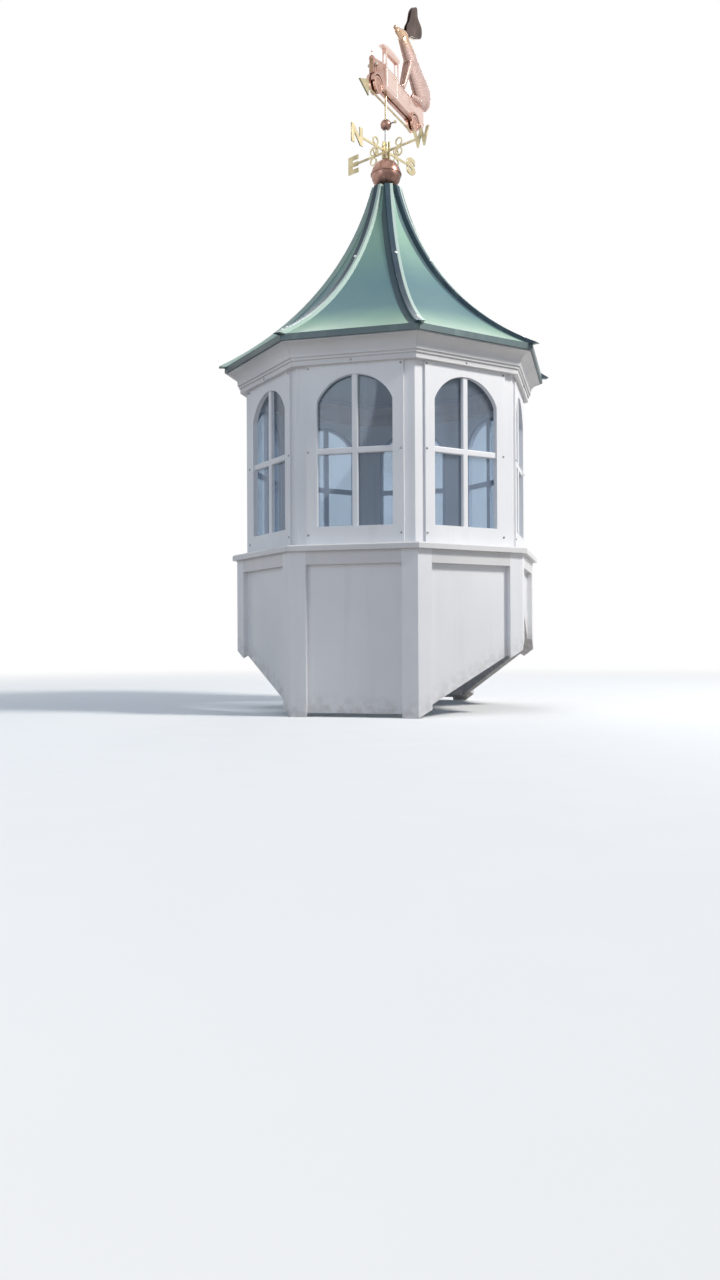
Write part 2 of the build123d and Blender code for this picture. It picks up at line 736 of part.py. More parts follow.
def vane_parts():
    """Everything that turns with the wind, drawn with the arrow along +X."""
    tube_top = frame_z + tube_seat
    tube = Pos(0, 0, (tube_z + tube_top) / 2) * Cylinder(tube_diameter / 2, tube_top - tube_z)
    bore_top = tube_top - tube_cap
    tube -= Pos(0, 0, (tube_z + bore_top) / 2) * Cylinder(tube_bore / 2, bore_top - tube_z)
    rod = Rot(0, 90, 0) * Cylinder(rod_diameter / 2, rod_front + rod_back)
    rod = Pos((rod_front - rod_back) / 2, 0, rod_z) * rod
    rod -= Pos(0, 0, rod_z) * Cylinder(tube_diameter / 2, tube_diameter * 2)
    tip = make_face(Polyline((rod_front, rod_z - head_height / 2), (rod_front + head_length, rod_z),
                             (rod_front, rod_z + head_height / 2), close=True))
    head = side_view(tip, -head_thickness / 2, head_thickness / 2)
    parts = {"vane_tube": tube, "arrow_rod": rod, "arrow_head": head}
    parts.update(truck_parts())
    parts.update(dog_parts())
    return {name: Rot(0, 0, vane_azimuth) * shape for name, shape in parts.items()}


def main():
    parts = base_parts()
    parts["sill"] = sill()
    parts.update(window_parts())
    parts["top_plate"] = ring(window_half, window_half - plate_thickness, wall_top, crown_height)
    parts["crown_moulding"] = crown()
    parts["eave_band"] = ring(eave_half, eave_half - eave_width, crown_top, eave_thickness)
    parts.update(roof_parts())
    parts.update(finial_parts())
    parts.update(vane_parts())
    os.makedirs("parts", exist_ok=True)
    for name, shape in parts.items():
        export_step(shape, os.path.join("parts", name + ".step"))
        print(name, round(shape.volume / 1000, 1), "cm3")


main()
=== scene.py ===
# %% [markdown]
# # A garage cupola with a weathervane
# The imported model gives every board, sheet and rod its true size and place. This lesson dresses it:
# finishes first, then the small pieces that catch the eye, such as screws, compass letters and door
# handles. Everything is in metres, with the cupola's axis at x = 0, y = 0 and its front facing -Y.
# %% Load the imported model
import math

import bmesh
import bpy
from mathutils import Matrix, Vector


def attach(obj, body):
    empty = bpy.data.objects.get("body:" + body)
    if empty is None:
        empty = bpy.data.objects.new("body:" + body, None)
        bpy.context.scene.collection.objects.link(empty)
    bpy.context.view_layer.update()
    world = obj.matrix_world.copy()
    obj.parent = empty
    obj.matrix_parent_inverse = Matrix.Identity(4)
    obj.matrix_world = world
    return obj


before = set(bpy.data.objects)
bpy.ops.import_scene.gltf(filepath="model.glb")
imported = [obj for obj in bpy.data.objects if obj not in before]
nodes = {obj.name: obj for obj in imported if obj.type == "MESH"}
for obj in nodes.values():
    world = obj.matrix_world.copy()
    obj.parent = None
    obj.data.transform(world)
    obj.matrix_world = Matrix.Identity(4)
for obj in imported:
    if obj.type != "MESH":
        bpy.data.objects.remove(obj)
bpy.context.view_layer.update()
print("nodes:", len(nodes))

# %% [markdown]
# ## The camera
# The picture was taken from the slope of the roof, low down and a little to the right of the cupola.
# A camera can be aimed with a Track To constraint, but a measured view needs its exact turn, so the
# three axes of the camera are worked out from a yaw, a pitch and a roll and put in one matrix.
# The lens is a wide one: 28 mm on a sensor that is 36 mm along the tall side of the picture.
# %% The camera
camera_place = Vector((0.890, -3.940, 0.264))
yaw = math.radians(14.36)
pitch = math.radians(0.12)
roll = math.radians(-0.29)
level_forward = Vector((-math.sin(yaw), math.cos(yaw), 0))
level_right = Vector((math.cos(yaw), math.sin(yaw), 0))
up = Vector((0, 0, 1))
forward = level_forward * math.cos(pitch) + up * math.sin(pitch)
tipped_up = up * math.cos(pitch) - level_forward * math.sin(pitch)
camera_right = level_right * math.cos(roll) + tipped_up * math.sin(roll)
camera_up = tipped_up * math.cos(roll) - level_right * math.sin(roll)

lens = bpy.data.cameras.new("roof_view")
lens.sensor_fit = "VERTICAL"
lens.sensor_height = 36
lens.lens = 28.125
lens.clip_start = 0.05
lens.clip_end = 200
camera = bpy.data.objects.new("roof_view", lens)
bpy.context.scene.collection.objects.link(camera)
turn = Matrix((camera_right, camera_up, -forward)).transposed()
camera.matrix_world = Matrix.Translation(camera_place) @ turn.to_4x4()
bpy.context.scene.camera = camera
bpy.context.scene.view_settings.view_transform = "Standard"
print("camera to axis:", round(camera_place.xy.length, 2), "m")

# %% [markdown]
# ## A short way to write shaders
# A material is a small program made of nodes. Linking each Math node by hand is long and hard to
# read, so a class wraps one socket and teaches it the signs +, -, * and **. Then `1 - dirt * 0.3`
# adds the Math nodes by itself. Masks need a soft edge more often than anything else, so `rising`
# gives them one.
# %% Sums on sockets
class Amount:
    """A socket of a material that can stand in a sum."""

    def __init__(self, finish, socket):
        self.finish = finish
        self.socket = socket

    def work(self, operation, *terms):
        settings = {"operation": operation}
        return self.finish.get("ShaderNodeMath", settings, dict(enumerate(terms)))

    def __add__(self, other):
        return self.work("ADD", self, other)

    __radd__ = __add__

    def __sub__(self, other):
        return self.work("SUBTRACT", self, other)

    def __rsub__(self, other):
        return self.work("SUBTRACT", other, self)

    def __mul__(self, other):
        return self.work("MULTIPLY", self, other)

    __rmul__ = __mul__

    def __pow__(self, other):
        return self.work("POWER", self, other)

    def __abs__(self):
        return self.work("ABSOLUTE", self)

    def rising(self, low, high):
        """0 below low, 1 above high, and a smooth step between them."""
        settings = {"interpolation_type": "SMOOTHSTEP"}
        values = {"Value": self, "From Min": low, "From Max": high}
        return self.finish.get("ShaderNodeMapRange", settings, values)

    def most(self, other):
        return self.work("MAXIMUM", self, other)

    def least(self, other):
        return self.work("MINIMUM", self, other)


print("sums on sockets ready")


# %% [markdown]
# ## One finish
# A second class holds the nodes of one finish. Its method `add` makes any node from its type, its
# settings, and the values or links of its sockets. The other methods are the steps that nearly every
# recipe here takes: a place, a noise, a change of colour, a bump and the shader at the end. A world
# has nodes as a material has, so the class takes one too.
# %% One finish
class Finish:
    """The nodes of a new material, or of the owner that is given."""

    def __init__(self, name, owner=None):
        self.owner = owner or bpy.data.materials.new(name)
        self.owner.use_nodes = True
        self.tree = self.owner.node_tree
        self.tree.nodes.clear()

    def add(self, kind, settings=None, values=None):
        node = self.tree.nodes.new(kind)
        for name, setting in (settings or {}).items():
            setattr(node, name, setting)
        for name, value in (values or {}).items():
            if isinstance(value, Amount):
                value = value.socket
            if isinstance(value, bpy.types.NodeSocket):
                self.tree.links.new(value, node.inputs[name])
            else:
                node.inputs[name].default_value = value
        return node

    def get(self, kind, settings=None, values=None, output=0):
        return Amount(self, self.add(kind, settings, values).outputs[output])

    def place(self):
        """Object coordinates, in metres."""
        return self.get("ShaderNodeTexCoord", output="Object")

    def stretched(self, place, size=(1, 1, 1), turn=(0, 0, 0)):
        return self.get("ShaderNodeMapping", {}, {"Vector": place, "Rotation": turn, "Scale": size})

    def noise(self, place, scale, detail=3, roughness=0.5):
        values = {"Vector": place, "Scale": scale, "Detail": detail, "Roughness": roughness}
        return self.get("ShaderNodeTexNoise", {}, values)

    def split(self, place):
        node = self.add("ShaderNodeSeparateXYZ", {}, {"Vector": place})
        return [Amount(self, socket) for socket in node.outputs]

    def tint(self, share, first, second):
        """One colour going over to another as share goes from 0 to 1."""
        colours = [c if isinstance(c, Amount) else (*c, 1) for c in (first, second)]
        values = {0: share, 6: colours[0], 7: colours[1]}
        return self.get("ShaderNodeMix", {"data_type": "RGBA"}, values, 2)

    def bump(self, height, strength, distance):
        values = {"Height": height, "Strength": strength, "Distance": distance}
        return self.get("ShaderNodeBump", {}, values)

    def surface(self, **values):
        """The Principled shader, and the material it ends in."""
        sockets = {name.replace("_", " "): value for name, value in values.items()}
        for name, value in sockets.items():
            if isinstance(value, tuple):
                sockets[name] = (*value, 1)
        return self.end_in(self.add("ShaderNodeBsdfPrincipled", {}, sockets))

    def end_in(self, shader, output="ShaderNodeOutputMaterial"):
        self.tree.links.new(shader.outputs[0], self.add(output).inputs[0])
        return self.owner


print("finishes ready")


# %% [markdown]
# ## Where two boards meet
# The sill, the crown and the rails go round the octagon in eight lengths with mitred ends. The cut
# shows as a hair line on each corner. The model could carry a groove there, but a line about two
# millimetres wide is cheaper in the shader: the angle round the axis tells how far a point is from the
# nearest corner plane, and the distance becomes a mask.
# %% Mitre lines
side_count = 8
side_turn = math.tau / side_count


def past_corner(finish, place):
    """Metres from the nearest corner plane: above 0 to its right, seen from outside, below to its left."""
    x, y, _ = finish.split(place)
    angle = y.work("ARCTAN2", y, x)
    sides_passed = angle * (1 / side_turn) + side_count
    past = sides_passed.work("FRACT", sides_passed) - 0.5
    radius = (x * x + y * y) ** 0.5
    return past * radius * side_turn


def mitre_line(finish, place, half_width):
    """1 on the eight corner planes of the octagon, 0 away from them."""
    return 1 - abs(past_corner(finish, place)).rising(half_width * 0.4, half_width)


print("sides:", side_count, "at", math.degrees(side_turn), "degrees")


# %% [markdown]
# ## White boards
# The walls are cellular vinyl boards with a smooth satin coat. Close up such a board is never one
# white: there is a faint cloudiness, a soft ripple from the roller, and grey dust that the rain
# leaves in streaks. Each of these is a noise at its own scale. Soil splashes up from the slope that
# the base is cut to, so the base's finish also measures the height above that slope. The sill, the
# rails and the crown get greyer tones than the flat boards, a painted shade, and they show their mitres.
# %% White boards
base_half = 0.559
base_slope = 0.7084
splash_reach = 0.085
board_mitre = 0.0011
rain_grey = (0.52, 0.52, 0.51)
soil_brown = (0.40, 0.375, 0.34)
cut_grey = (0.30, 0.30, 0.31)


def white_board(name, light, dark, mitred=False, splashed=False):
    finish = Finish(name)
    place = finish.place()
    cloud = finish.noise(place, 2.2, 4).rising(0.35, 0.7)
    streak = finish.noise(finish.stretched(place, (26, 26, 1.6)), 1, 5).rising(0.5, 0.82)
    ripple = finish.noise(place, 210, 2)
    grain = finish.noise(finish.stretched(place, (1, 1, 0.25)), 900, 1)
    colour = finish.tint(cloud, light, dark)
    colour = finish.tint(streak * 0.16, colour, rain_grey)
    height = ripple * 0.6 + grain * 0.4
    rough = 0.36 + 0.12 * cloud + streak * 0.08
    if splashed:
        _, y, z = finish.split(place)
        over_slope = z - (base_half - abs(y)) * base_slope
        patches = finish.noise(place, 38, 5).rising(0.32, 0.72)
        splash = (1 - over_slope.rising(0.0, splash_reach)) * patches
        colour = finish.tint(splash * 0.45, colour, soil_brown)
        rough = rough + splash * 0.2
    if mitred:
        line = mitre_line(finish, place, board_mitre)
        colour = finish.tint(line * 0.55, colour, cut_grey)
        height = height - line * 6
    return finish.surface(Base_Color=colour, Roughness=rough, Coat_Weight=0.12, Coat_Roughness=0.22,
                          Normal=finish.bump(height, 0.25, 0.0004))


board_tones = (0.80, 0.805, 0.825), (0.735, 0.742, 0.77)
# The greyer tones of the sill, the rails and the crown are painted shade.
shaded_moulding_tones = (0.69, 0.685, 0.69), (0.62, 0.62, 0.63)
base_white = white_board("base_white", *board_tones, splashed=True)
wall_white = white_board("wall_white", *board_tones)
moulding_white = white_board("moulding_white", *shaded_moulding_tones, mitred=True)
print("white boards:", base_white.name, wall_white.name, moulding_white.name)


# %% [markdown]
# ## Window glass
# Each pane is a real 4 mm sheet. Glass that bends light is slow and noisy in a closed room, so the
# pane mixes two plain shaders: Transparent with a faint grey-blue tint, and Glossy for the mirror
# image. Glass mirrors more the flatter it is looked at, and the fifth power of Layer Weight's Facing
# is a good measure of it. A Fresnel node would take the far side of an unbending pane for the inside
# of solid glass and turn it into a full mirror beyond 42 degrees. A thin film of dust veils it all,
# and its blue is a painted sky reflection.
# %% Window glass
glass_tint = (0.80, 0.855, 0.90, 1)
mirror_tint = (0.92, 0.95, 1.0, 1)
# The veil's blue is a painted sky reflection over a film of dust.
dust_and_sky_blue = (0.50, 0.60, 0.78, 1)
straight_mirror = 0.04

glass = Finish("window_glass_clear")
film = glass.noise(glass.stretched(glass.place(), (9, 9, 3)), 1, 4).rising(0.35, 0.8)
clear = glass.add("ShaderNodeBsdfTransparent", {}, {"Color": glass_tint})
mirror = glass.add("ShaderNodeBsdfGlossy", {}, {"Color": mirror_tint, "Roughness": 0.03})
dust_and_sky_veil = glass.add("ShaderNodeBsdfDiffuse", {}, {"Color": dust_and_sky_blue})
facing = glass.get("ShaderNodeLayerWeight", {}, {"Blend": 0.5}, "Facing")
mirrored = facing ** 5 * 0.9 + straight_mirror
clean = {0: mirrored, 1: clear.outputs[0], 2: mirror.outputs[0]}
clean_pane = glass.add("ShaderNodeMixShader", {}, clean)
veiled = {0: 0.10 + film * 0.06, 1: clean_pane.outputs[0], 2: dust_and_sky_veil.outputs[0]}
pane_glass = glass.end_in(glass.add("ShaderNodeMixShader", {}, veiled))
print("glass:", len(glass.tree.nodes), "nodes")


# %% [markdown]
# ## The roof's metal
# The roof is sheet metal with a satin, patina green coat. A coat over metal keeps some of the metal's
# mirror, so Metallic stands between 0 and 1. Thin sheet is never quite flat, and its long soft waves
# make the reflections swim. Each part of the roof then gets marks of its own. A panel gets a painted
# reflection: darker blue over its hollow belly and paler at its foot. Left of each ridge it gets a painted
# shadow, as cast by the raised cap. The hip caps are painted dark as shade, with a painted sunlit right
# side, and the eave shows its eight mitres.
# %% Marks and painted light on the roof
dark_reflection_starts = (1.40, 1.50)
dark_reflection_ends = (1.58, 1.86)
pale_reflection_ends = (1.355, 1.43)
cap_shadow_starts = (-0.0365, -0.0335)
cap_shadow_ends = (-0.002, 0.0)
sunlit_side_starts = (0.003, 0.006)
band_mitre = 0.0014
dark_reflection_blue = (0.080, 0.170, 0.215)
pale_reflection_green = (0.40, 0.52, 0.42)
cap_shadow_blue = (0.030, 0.066, 0.092)
sunlit_side_green = (0.52, 0.65, 0.59)
band_cut = (0.02, 0.03, 0.035)


def panel_painted_light(finish, place, colour, height):
    level = finish.split(place)[2]
    # Painted reflection: a dark blue band over the hollow belly, and a paler foot.
    belly = level.rising(*dark_reflection_starts) * (1 - level.rising(*dark_reflection_ends))
    foot = 1 - level.rising(*pale_reflection_ends)
    past = past_corner(finish, place)
    # Painted shadow, as cast by the raised cap, on the panel left of each ridge.
    cap_shadow = past.rising(*cap_shadow_starts) * (1 - past.rising(*cap_shadow_ends))
    colour = finish.tint(belly * 0.8, colour, dark_reflection_blue)
    colour = finish.tint(foot * 0.45, colour, pale_reflection_green)
    return finish.tint(cap_shadow * 0.85, colour, cap_shadow_blue), height


def cap_painted_light(finish, place, colour, height):
    # The cap's right side is painted as sunlit.
    sunlit_side = past_corner(finish, place).rising(*sunlit_side_starts)
    return finish.tint(sunlit_side * 0.85, colour, sunlit_side_green), height


def band_marks(finish, place, colour, height):
    line = mitre_line(finish, place, band_mitre)
    return finish.tint(line * 0.8, colour, band_cut), height - line * 5


print("lap:", round((cap_shadow_ends[1] - cap_shadow_starts[0]) * 1000, 1), "mm wide")

# %% [markdown]
# ## One sheet for the whole roof
# All the roof's metal shares one recipe: clouds between two greens, pale runs that rain has drawn
# down the slope, and fine dark specks. The marks come in as a function, so that the recipe itself is
# written once. The panels were tried glossier at first, and their glare burned out to white.
# %% Roof metal
run_green = (0.36, 0.47, 0.41)
speck_green = (0.05, 0.09, 0.08)


def roof_sheet(name, light, dark, marks, metallic, rough, gloss=0.5):
    finish = Finish(name)
    place = finish.place()
    cloud = finish.noise(place, 3.0, 4).rising(0.3, 0.72)
    run = finish.noise(finish.stretched(place, (22, 22, 2.5)), 1, 4).rising(0.52, 0.85)
    speck = finish.noise(place, 420, 2)
    wave = finish.noise(finish.stretched(place, (1, 1, 0.6)), 5.5, 1)
    colour = finish.tint(cloud, light, dark)
    colour = finish.tint(run * 0.22, colour, run_green)
    colour = finish.tint(speck.rising(0.62, 0.8) * 0.12, colour, speck_green)
    colour, height = marks(finish, place, colour, wave * 14 + speck * 0.15)
    return finish.surface(Base_Color=colour, Roughness=rough + cloud * 0.08 + run * 0.12,
                          Metallic=metallic, Coat_Weight=0.06, Coat_Roughness=0.2,
                          Specular_IOR_Level=gloss, Normal=finish.bump(height, 0.35, 0.0006))


panel_tones = (0.225, 0.375, 0.295), (0.165, 0.295, 0.255)
# The caps' near-black tones are painted shade.
shaded_cap_tones = (0.034, 0.072, 0.100), (0.022, 0.046, 0.070)
eave_tones = (0.088, 0.130, 0.138), (0.058, 0.090, 0.105)
roof_green = roof_sheet("roof_green", *panel_tones, panel_painted_light, metallic=0.25, rough=0.52)
shaded_cap_green = roof_sheet("shaded_cap_green", *shaded_cap_tones, cap_painted_light, metallic=0.15, rough=0.38, gloss=0.3)
eave_green = roof_sheet("eave_green", *eave_tones, band_marks, metallic=0.30, rough=0.38)
print("roof:", roof_green.name, shaded_cap_green.name, eave_green.name)


# %% [markdown]
# ## Copper
# Copper left outdoors goes from bright salmon to brown, first in patches and in the hollows. A broad
# noise lays the brown patches and a fine one the small stains. The surface was hammered over a form,
# which a low bump shows. One function makes the brighter truck, the darker ball and the nearly black
# ears, with the colours and the share of tarnish as its inputs. The ears' near black is painted shade.
# Seams and hair come in as marks.
# %% Copper
def copper(name, bright, tarnish, share, marks=None):
    finish = Finish(name)
    place = finish.place()
    patch = finish.noise(place, 14, 5, 0.6).rising(0.62 - share * 0.5, 0.92 - share * 0.4)
    stain = finish.noise(place, 95, 4).rising(0.55, 0.8)
    dents = finish.noise(place, 48, 2)
    grain = finish.noise(place, 700, 1)
    colour = finish.tint(patch, bright, tarnish)
    colour = finish.tint(stain * 0.35, colour, tarnish)
    rough = 0.24 + patch * 0.16 + stain * 0.1
    height = dents * 2.0 + grain * 0.12
    if marks:
        colour, height = marks(finish, place, colour, height)
    return finish.surface(Base_Color=colour, Roughness=rough, Metallic=1.0,
                          Normal=finish.bump(height, 0.4, 0.0006))


ball_copper = copper("ball_copper", (0.50, 0.29, 0.235), (0.150, 0.088, 0.072), 0.72)
# Near-black copper: painted shade on the ears.
ear_shade_copper = copper("ear_shade_copper", (0.135, 0.074, 0.055), (0.060, 0.036, 0.029), 0.7)
print("copper:", ball_copper.name, ear_shade_copper.name)

# %% [markdown]
# ## The truck's seams
# The door of the little truck is only a line pressed in the sheet. The wind has turned the vane 104
# degrees from the x axis, so a Mapping node turns the coordinates back: then x runs along the arrow,
# and a seam is a thin band at one x or one z. The band darkens the colour and goes down in the bump.
# The cab and the bed are painted paler, as painted sunlight, while bonnet, fenders and frame are browner.
# %% The truck's finish
vane_turn = math.radians(-104)
door_foot = 2.504
door_belt = 2.5835
door_front = 0.002
door_back = -0.088
seam_half = 0.0009
seam_end = 0.0004
seam_brown = (0.12, 0.055, 0.04)


def along_vane(finish, vector):
    """Turned so that its x runs along the arrow and its y to the left."""
    return finish.stretched(vector, turn=(0, 0, -vane_turn))


def thin_band(value, middle):
    return 1 - abs(value - middle).rising(seam_half * 0.5, seam_half)


def between(value, low, high):
    return value.rising(low - seam_end, low) * (1 - value.rising(high, high + seam_end))


def door_seams(finish, place, colour, height):
    along, _, level = finish.split(along_vane(finish, place))
    uprights = thin_band(along, door_front).most(thin_band(along, door_back))
    levels = thin_band(level, door_foot).most(thin_band(level, door_belt))
    upright_seams = uprights * between(level, door_foot, door_belt)
    level_seams = levels * between(along, door_back, door_front)
    seam = upright_seams.most(level_seams)
    return finish.tint(seam * 0.75, colour, seam_brown), height - seam * 7


truck_copper = copper("truck_copper", (0.60, 0.385, 0.315), (0.31, 0.165, 0.125), 0.40, door_seams)
frame_copper = copper("frame_copper", (0.42, 0.245, 0.19), (0.18, 0.095, 0.07), 0.5)
# Paler copper for the cab and the bed: painted sunlight.
sunlit_cabin_copper = copper("sunlit_cabin_copper", (0.85, 0.64, 0.565), (0.50, 0.30, 0.24), 0.2, door_seams)
print("truck:", truck_copper.name, frame_copper.name, sunlit_cabin_copper.name)

# %% [markdown]
# ## Tyres and discs
# Tyre and wheel are one pressed form. The disc is browner than the tyre, and a dark line parts them.
# Both follow from the distance to the nearer axle, which is worked out as for a circle.
# %% The wheels' finish
front_axle = 0.090
rear_axle = -0.250
axle_level = 2.4696
tyre_starts = (0.0232, 0.0242)
tyre_line = 0.0238
disc_brown = (0.36, 0.175, 0.125)
line_brown = (0.10, 0.05, 0.04)


def tyre_rings(finish, place, colour, height):
    along, _, level = finish.split(along_vane(finish, place))
    rise = level - axle_level
    front = ((along - front_axle) ** 2 + rise ** 2) ** 0.5
    rear = ((along - rear_axle) ** 2 + rise ** 2) ** 0.5
    reach = front.least(rear)
    tyre = reach.rising(*tyre_starts)
    line = 1 - abs(reach - tyre_line).rising(0.0006, 0.0012)
    colour = finish.tint((1 - tyre) * 0.45, colour, disc_brown)
    return finish.tint(line * 0.7, colour, line_brown), height - line * 4


wheel_copper = copper("wheel_copper", (0.72, 0.45, 0.36), (0.34, 0.175, 0.13), 0.35, tyre_rings)
print("wheels:", wheel_copper.name)


# %% [markdown]
# ## The lines of the dog
# The maker cut the mouth and the clefts between the toes as fine grooves. They could be modelled, but
# they are about a millimetre wide, so masks draw them. The mouth is a thin band along a sloping line,
# and a sine across the paws gives their clefts.
# %% Mouth and toes
mouth_starts = (-0.134, -0.130)
mouth_ends = (-0.096, -0.090)
jaw_level = 2.7905
jaw_middle = -0.11
jaw_rise = 0.10
toes_end = (2.582, 2.586)
toe_waves = 950


def dog_grooves(along, across, level):
    """1 on the line of the mouth and in the clefts between the toes."""
    jaw = jaw_level + (along - jaw_middle) * jaw_rise
    muzzle = along.rising(*mouth_starts) * (1 - along.rising(*mouth_ends))
    mouth = (1 - abs(level - jaw).rising(0.0005, 0.0014)) * muzzle
    waves = abs(across.work("SINE", across * toe_waves))
    toes = (1 - level.rising(*toes_end)) * (1 - waves.rising(0.10, 0.35))
    return mouth.most(toes)


print("toe clefts:", round(math.pi / toe_waves * 1000, 1), "mm apart")

# %% [markdown]
# ## The dog's coat
# Short hair is chased into the copper. A Wave texture bent by noise gives lines that wander along the
# body, and in the bump they read as fur. The head is painted a warmer, more golden copper, a painted
# reflection that follows the height. The faces that turn forwards, towards the cab, are painted browner
# as shade, which the surface's own direction decides. The folds where the ears begin get a painted
# highlight.
# %% The dog's finish
golden_light_starts = (2.735, 2.790)
fold_highlight_starts = (2.802, 2.808)
fold_highlight_ends = (-0.206, -0.200)
painted_golden_light = (0.70, 0.47, 0.275)
hair_brown = (0.20, 0.095, 0.065)
groove_brown = (0.07, 0.035, 0.028)
painted_shade_brown = (0.19, 0.095, 0.068)
painted_highlight_cream = (0.95, 0.90, 0.80)


def hair_and_painted_light(finish, place, colour, height):
    local = along_vane(finish, place)
    along, across, level = finish.split(local)
    settings = {"wave_type": "BANDS", "bands_direction": "DIAGONAL"}
    values = {"Vector": finish.stretched(local, (1, 1, 0.45)), "Scale": 62, "Distortion": 9,
              "Detail": 3, "Detail Scale": 1.6}
    hair = finish.get("ShaderNodeTexWave", settings, values, "Fac")
    # The golden head is a painted reflection, by height.
    colour = finish.tint(level.rising(*golden_light_starts) * 0.7, colour, painted_golden_light)
    colour = finish.tint((1 - hair) * 0.30, colour, hair_brown)
    groove = dog_grooves(along, across, level)
    colour = finish.tint(groove * 0.85, colour, groove_brown)
    # Faces turned forwards are painted browner: painted shade.
    outward = finish.get("ShaderNodeTexCoord", output="Normal")
    forward_painted_shade = finish.split(along_vane(finish, outward))[0]
    colour = finish.tint(forward_painted_shade.rising(0.30, 0.85) * 0.65, colour, painted_shade_brown)
    # The near-white ear folds are a painted highlight.
    fold_highlight = level.rising(*fold_highlight_starts) * (1 - along.rising(*fold_highlight_ends))
    colour = finish.tint(fold_highlight * 0.85, colour, painted_highlight_cream)
    return colour, height + hair * 0.7 - groove * 5


dog_copper = copper("dog_copper", (0.75, 0.555, 0.505), (0.39, 0.23, 0.185), 0.30, hair_and_painted_light)
print("dog:", dog_copper.name)


# %% [markdown]
# ## Brass, steel and the hidden wood
# The arms, the letters and the arrow are weathered brass: pale where the sun has it, olive where it
# has gone dull. The mast is a drawn steel rod, whose fine lines run along it. Under the roof is sawn
# softwood, seen only from below, with rings that are a noise stretched along the grain.
# %% Brass, steel and wood
def brass(name, bright, dull):
    finish = Finish(name)
    place = finish.place()
    patch = finish.noise(place, 26, 5).rising(0.38, 0.72)
    fine = finish.noise(place, 340, 3)
    colour = finish.tint(patch, bright, dull)
    rough = 0.26 + patch * 0.2
    return finish.surface(Base_Color=colour, Roughness=rough, Metallic=1.0,
                          Normal=finish.bump(fine + patch * 0.5, 0.22, 0.0003))


def drawn_rod():
    finish = Finish("drawn_rod")
    place = finish.place()
    lines = finish.noise(finish.stretched(place, (900, 900, 12)), 1, 3)
    dull = finish.noise(place, 30, 3).rising(0.4, 0.75)
    colour = finish.tint(dull * 0.6, (0.60, 0.605, 0.60), (0.36, 0.36, 0.35))
    return finish.surface(Base_Color=colour, Roughness=0.30 + lines * 0.12, Metallic=0.9,
                          Normal=finish.bump(lines, 0.2, 0.0002))


def softwood():
    finish = Finish("softwood")
    place = finish.place()
    rings = finish.noise(finish.stretched(place, (3, 34, 34)), 1, 5, 0.6)
    saw = finish.noise(finish.stretched(place, (240, 12, 12)), 1, 2)
    colour = finish.tint(rings.rising(0.3, 0.7), (0.56, 0.40, 0.235), (0.36, 0.225, 0.12))
    return finish.surface(Base_Color=colour, Roughness=0.72 + saw * 0.15,
                          Normal=finish.bump(rings + saw, 0.5, 0.0006))


arm_brass = brass("arm_brass", (0.63, 0.545, 0.34), (0.38, 0.33, 0.21))
tube_brass = brass("tube_brass", (0.60, 0.50, 0.335), (0.42, 0.33, 0.215))
rod_steel = drawn_rod()
roof_wood = softwood()
print("brass, steel and wood ready")

# %% [markdown]
# ## Give the finishes to the model's nodes
# A node whose shape is right keeps its mesh and only gets a better material in its slots. One table
# says which finish goes where, and a loop over it does the rest. The panels are named by their sides.
# %% Dress the nodes
side_names = ["front", "front_right", "right", "back_right", "back", "back_left", "left", "front_left"]
dress = {
    base_white: ["base_panel_" + side for side in side_names] + ["base_corner_boards"],
    wall_white: ["window_panels", "window_posts", "window_bars"],
    moulding_white: ["sill", "crown_moulding", "base_top_rails"],
    pane_glass: ["window_panes"],
    roof_green: ["roof_panel_" + side for side in side_names],
    shaded_cap_green: ["hip_caps"],
    eave_green: ["eave_band"],
    roof_wood: ["top_plate", "finial_block"],
    ball_copper: ["copper_ball", "spacer_ball"],
    rod_steel: ["mast"],
    arm_brass: ["direction_hub", "direction_arms", "arrow_head"],
    tube_brass: ["vane_tube", "arrow_rod"],
    truck_copper: ["truck_bonnet", "truck_radiator", "truck_headlamps", "truck_fenders"],
    sunlit_cabin_copper: ["truck_bed", "truck_cab", "truck_cab_roof"],
    wheel_copper: ["truck_wheels"],
    frame_copper: ["truck_frame"],
    dog_copper: ["dog"],
    ear_shade_copper: ["dog_ears"],
}
for material, names in dress.items():
    for name in names:
        for index in range(len(nodes[name].data.materials)):
            nodes[name].data.materials[index] = material
dressed = sum(len(names) for names in dress.values())
print("dressed nodes:", dressed, "of", len(nodes))


# %% [markdown]
# ## Making a mesh and handing it over
# Every piece ends the same way: a mesh whose own coordinates are already its place, so its object
# stays at the origin, a material and a body to ride on. Most of the small pieces are round, so a
# second helper turns them as on a lathe, from a list of rings.
# %% Finished pieces
def hand_over(name, mesh, body):
    """A mesh as a finished piece on a body."""
    piece = bpy.data.objects.new(name, mesh)
    bpy.context.scene.collection.objects.link(piece)
    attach(piece, body)
    print(name, len(mesh.polygons), "faces")


def piece_from(name, shape, material, body):
    """A bmesh as a finished piece on a body."""
    mesh = bpy.data.meshes.new(name)
    shape.normal_update()
    shape.to_mesh(mesh)
    shape.free()
    mesh.materials.append(material)
    hand_over(name, mesh, body)


def turned_shape(rings, sides):
    """A round form from (radius, height) rings, closed at both ends, standing on the origin."""
    shape = bmesh.new()
    loops = []
    for radius, height in rings:
        loop = []
        for step in range(sides):
            angle = math.tau * step / sides
            reach = radius(angle) if callable(radius) else radius
            loop.append(shape.verts.new((reach * math.cos(angle), reach * math.sin(angle), height)))
        loops.append(loop)
    for low, high in zip(loops, loops[1:]):
        for step in range(sides):
            after = (step + 1) % sides
            shape.faces.new((low[step], low[after], high[after], high[step]))
    shape.faces.new(list(reversed(loops[0])))
    shape.faces.new(loops[-1])
    return shape


print("helpers for pieces ready")


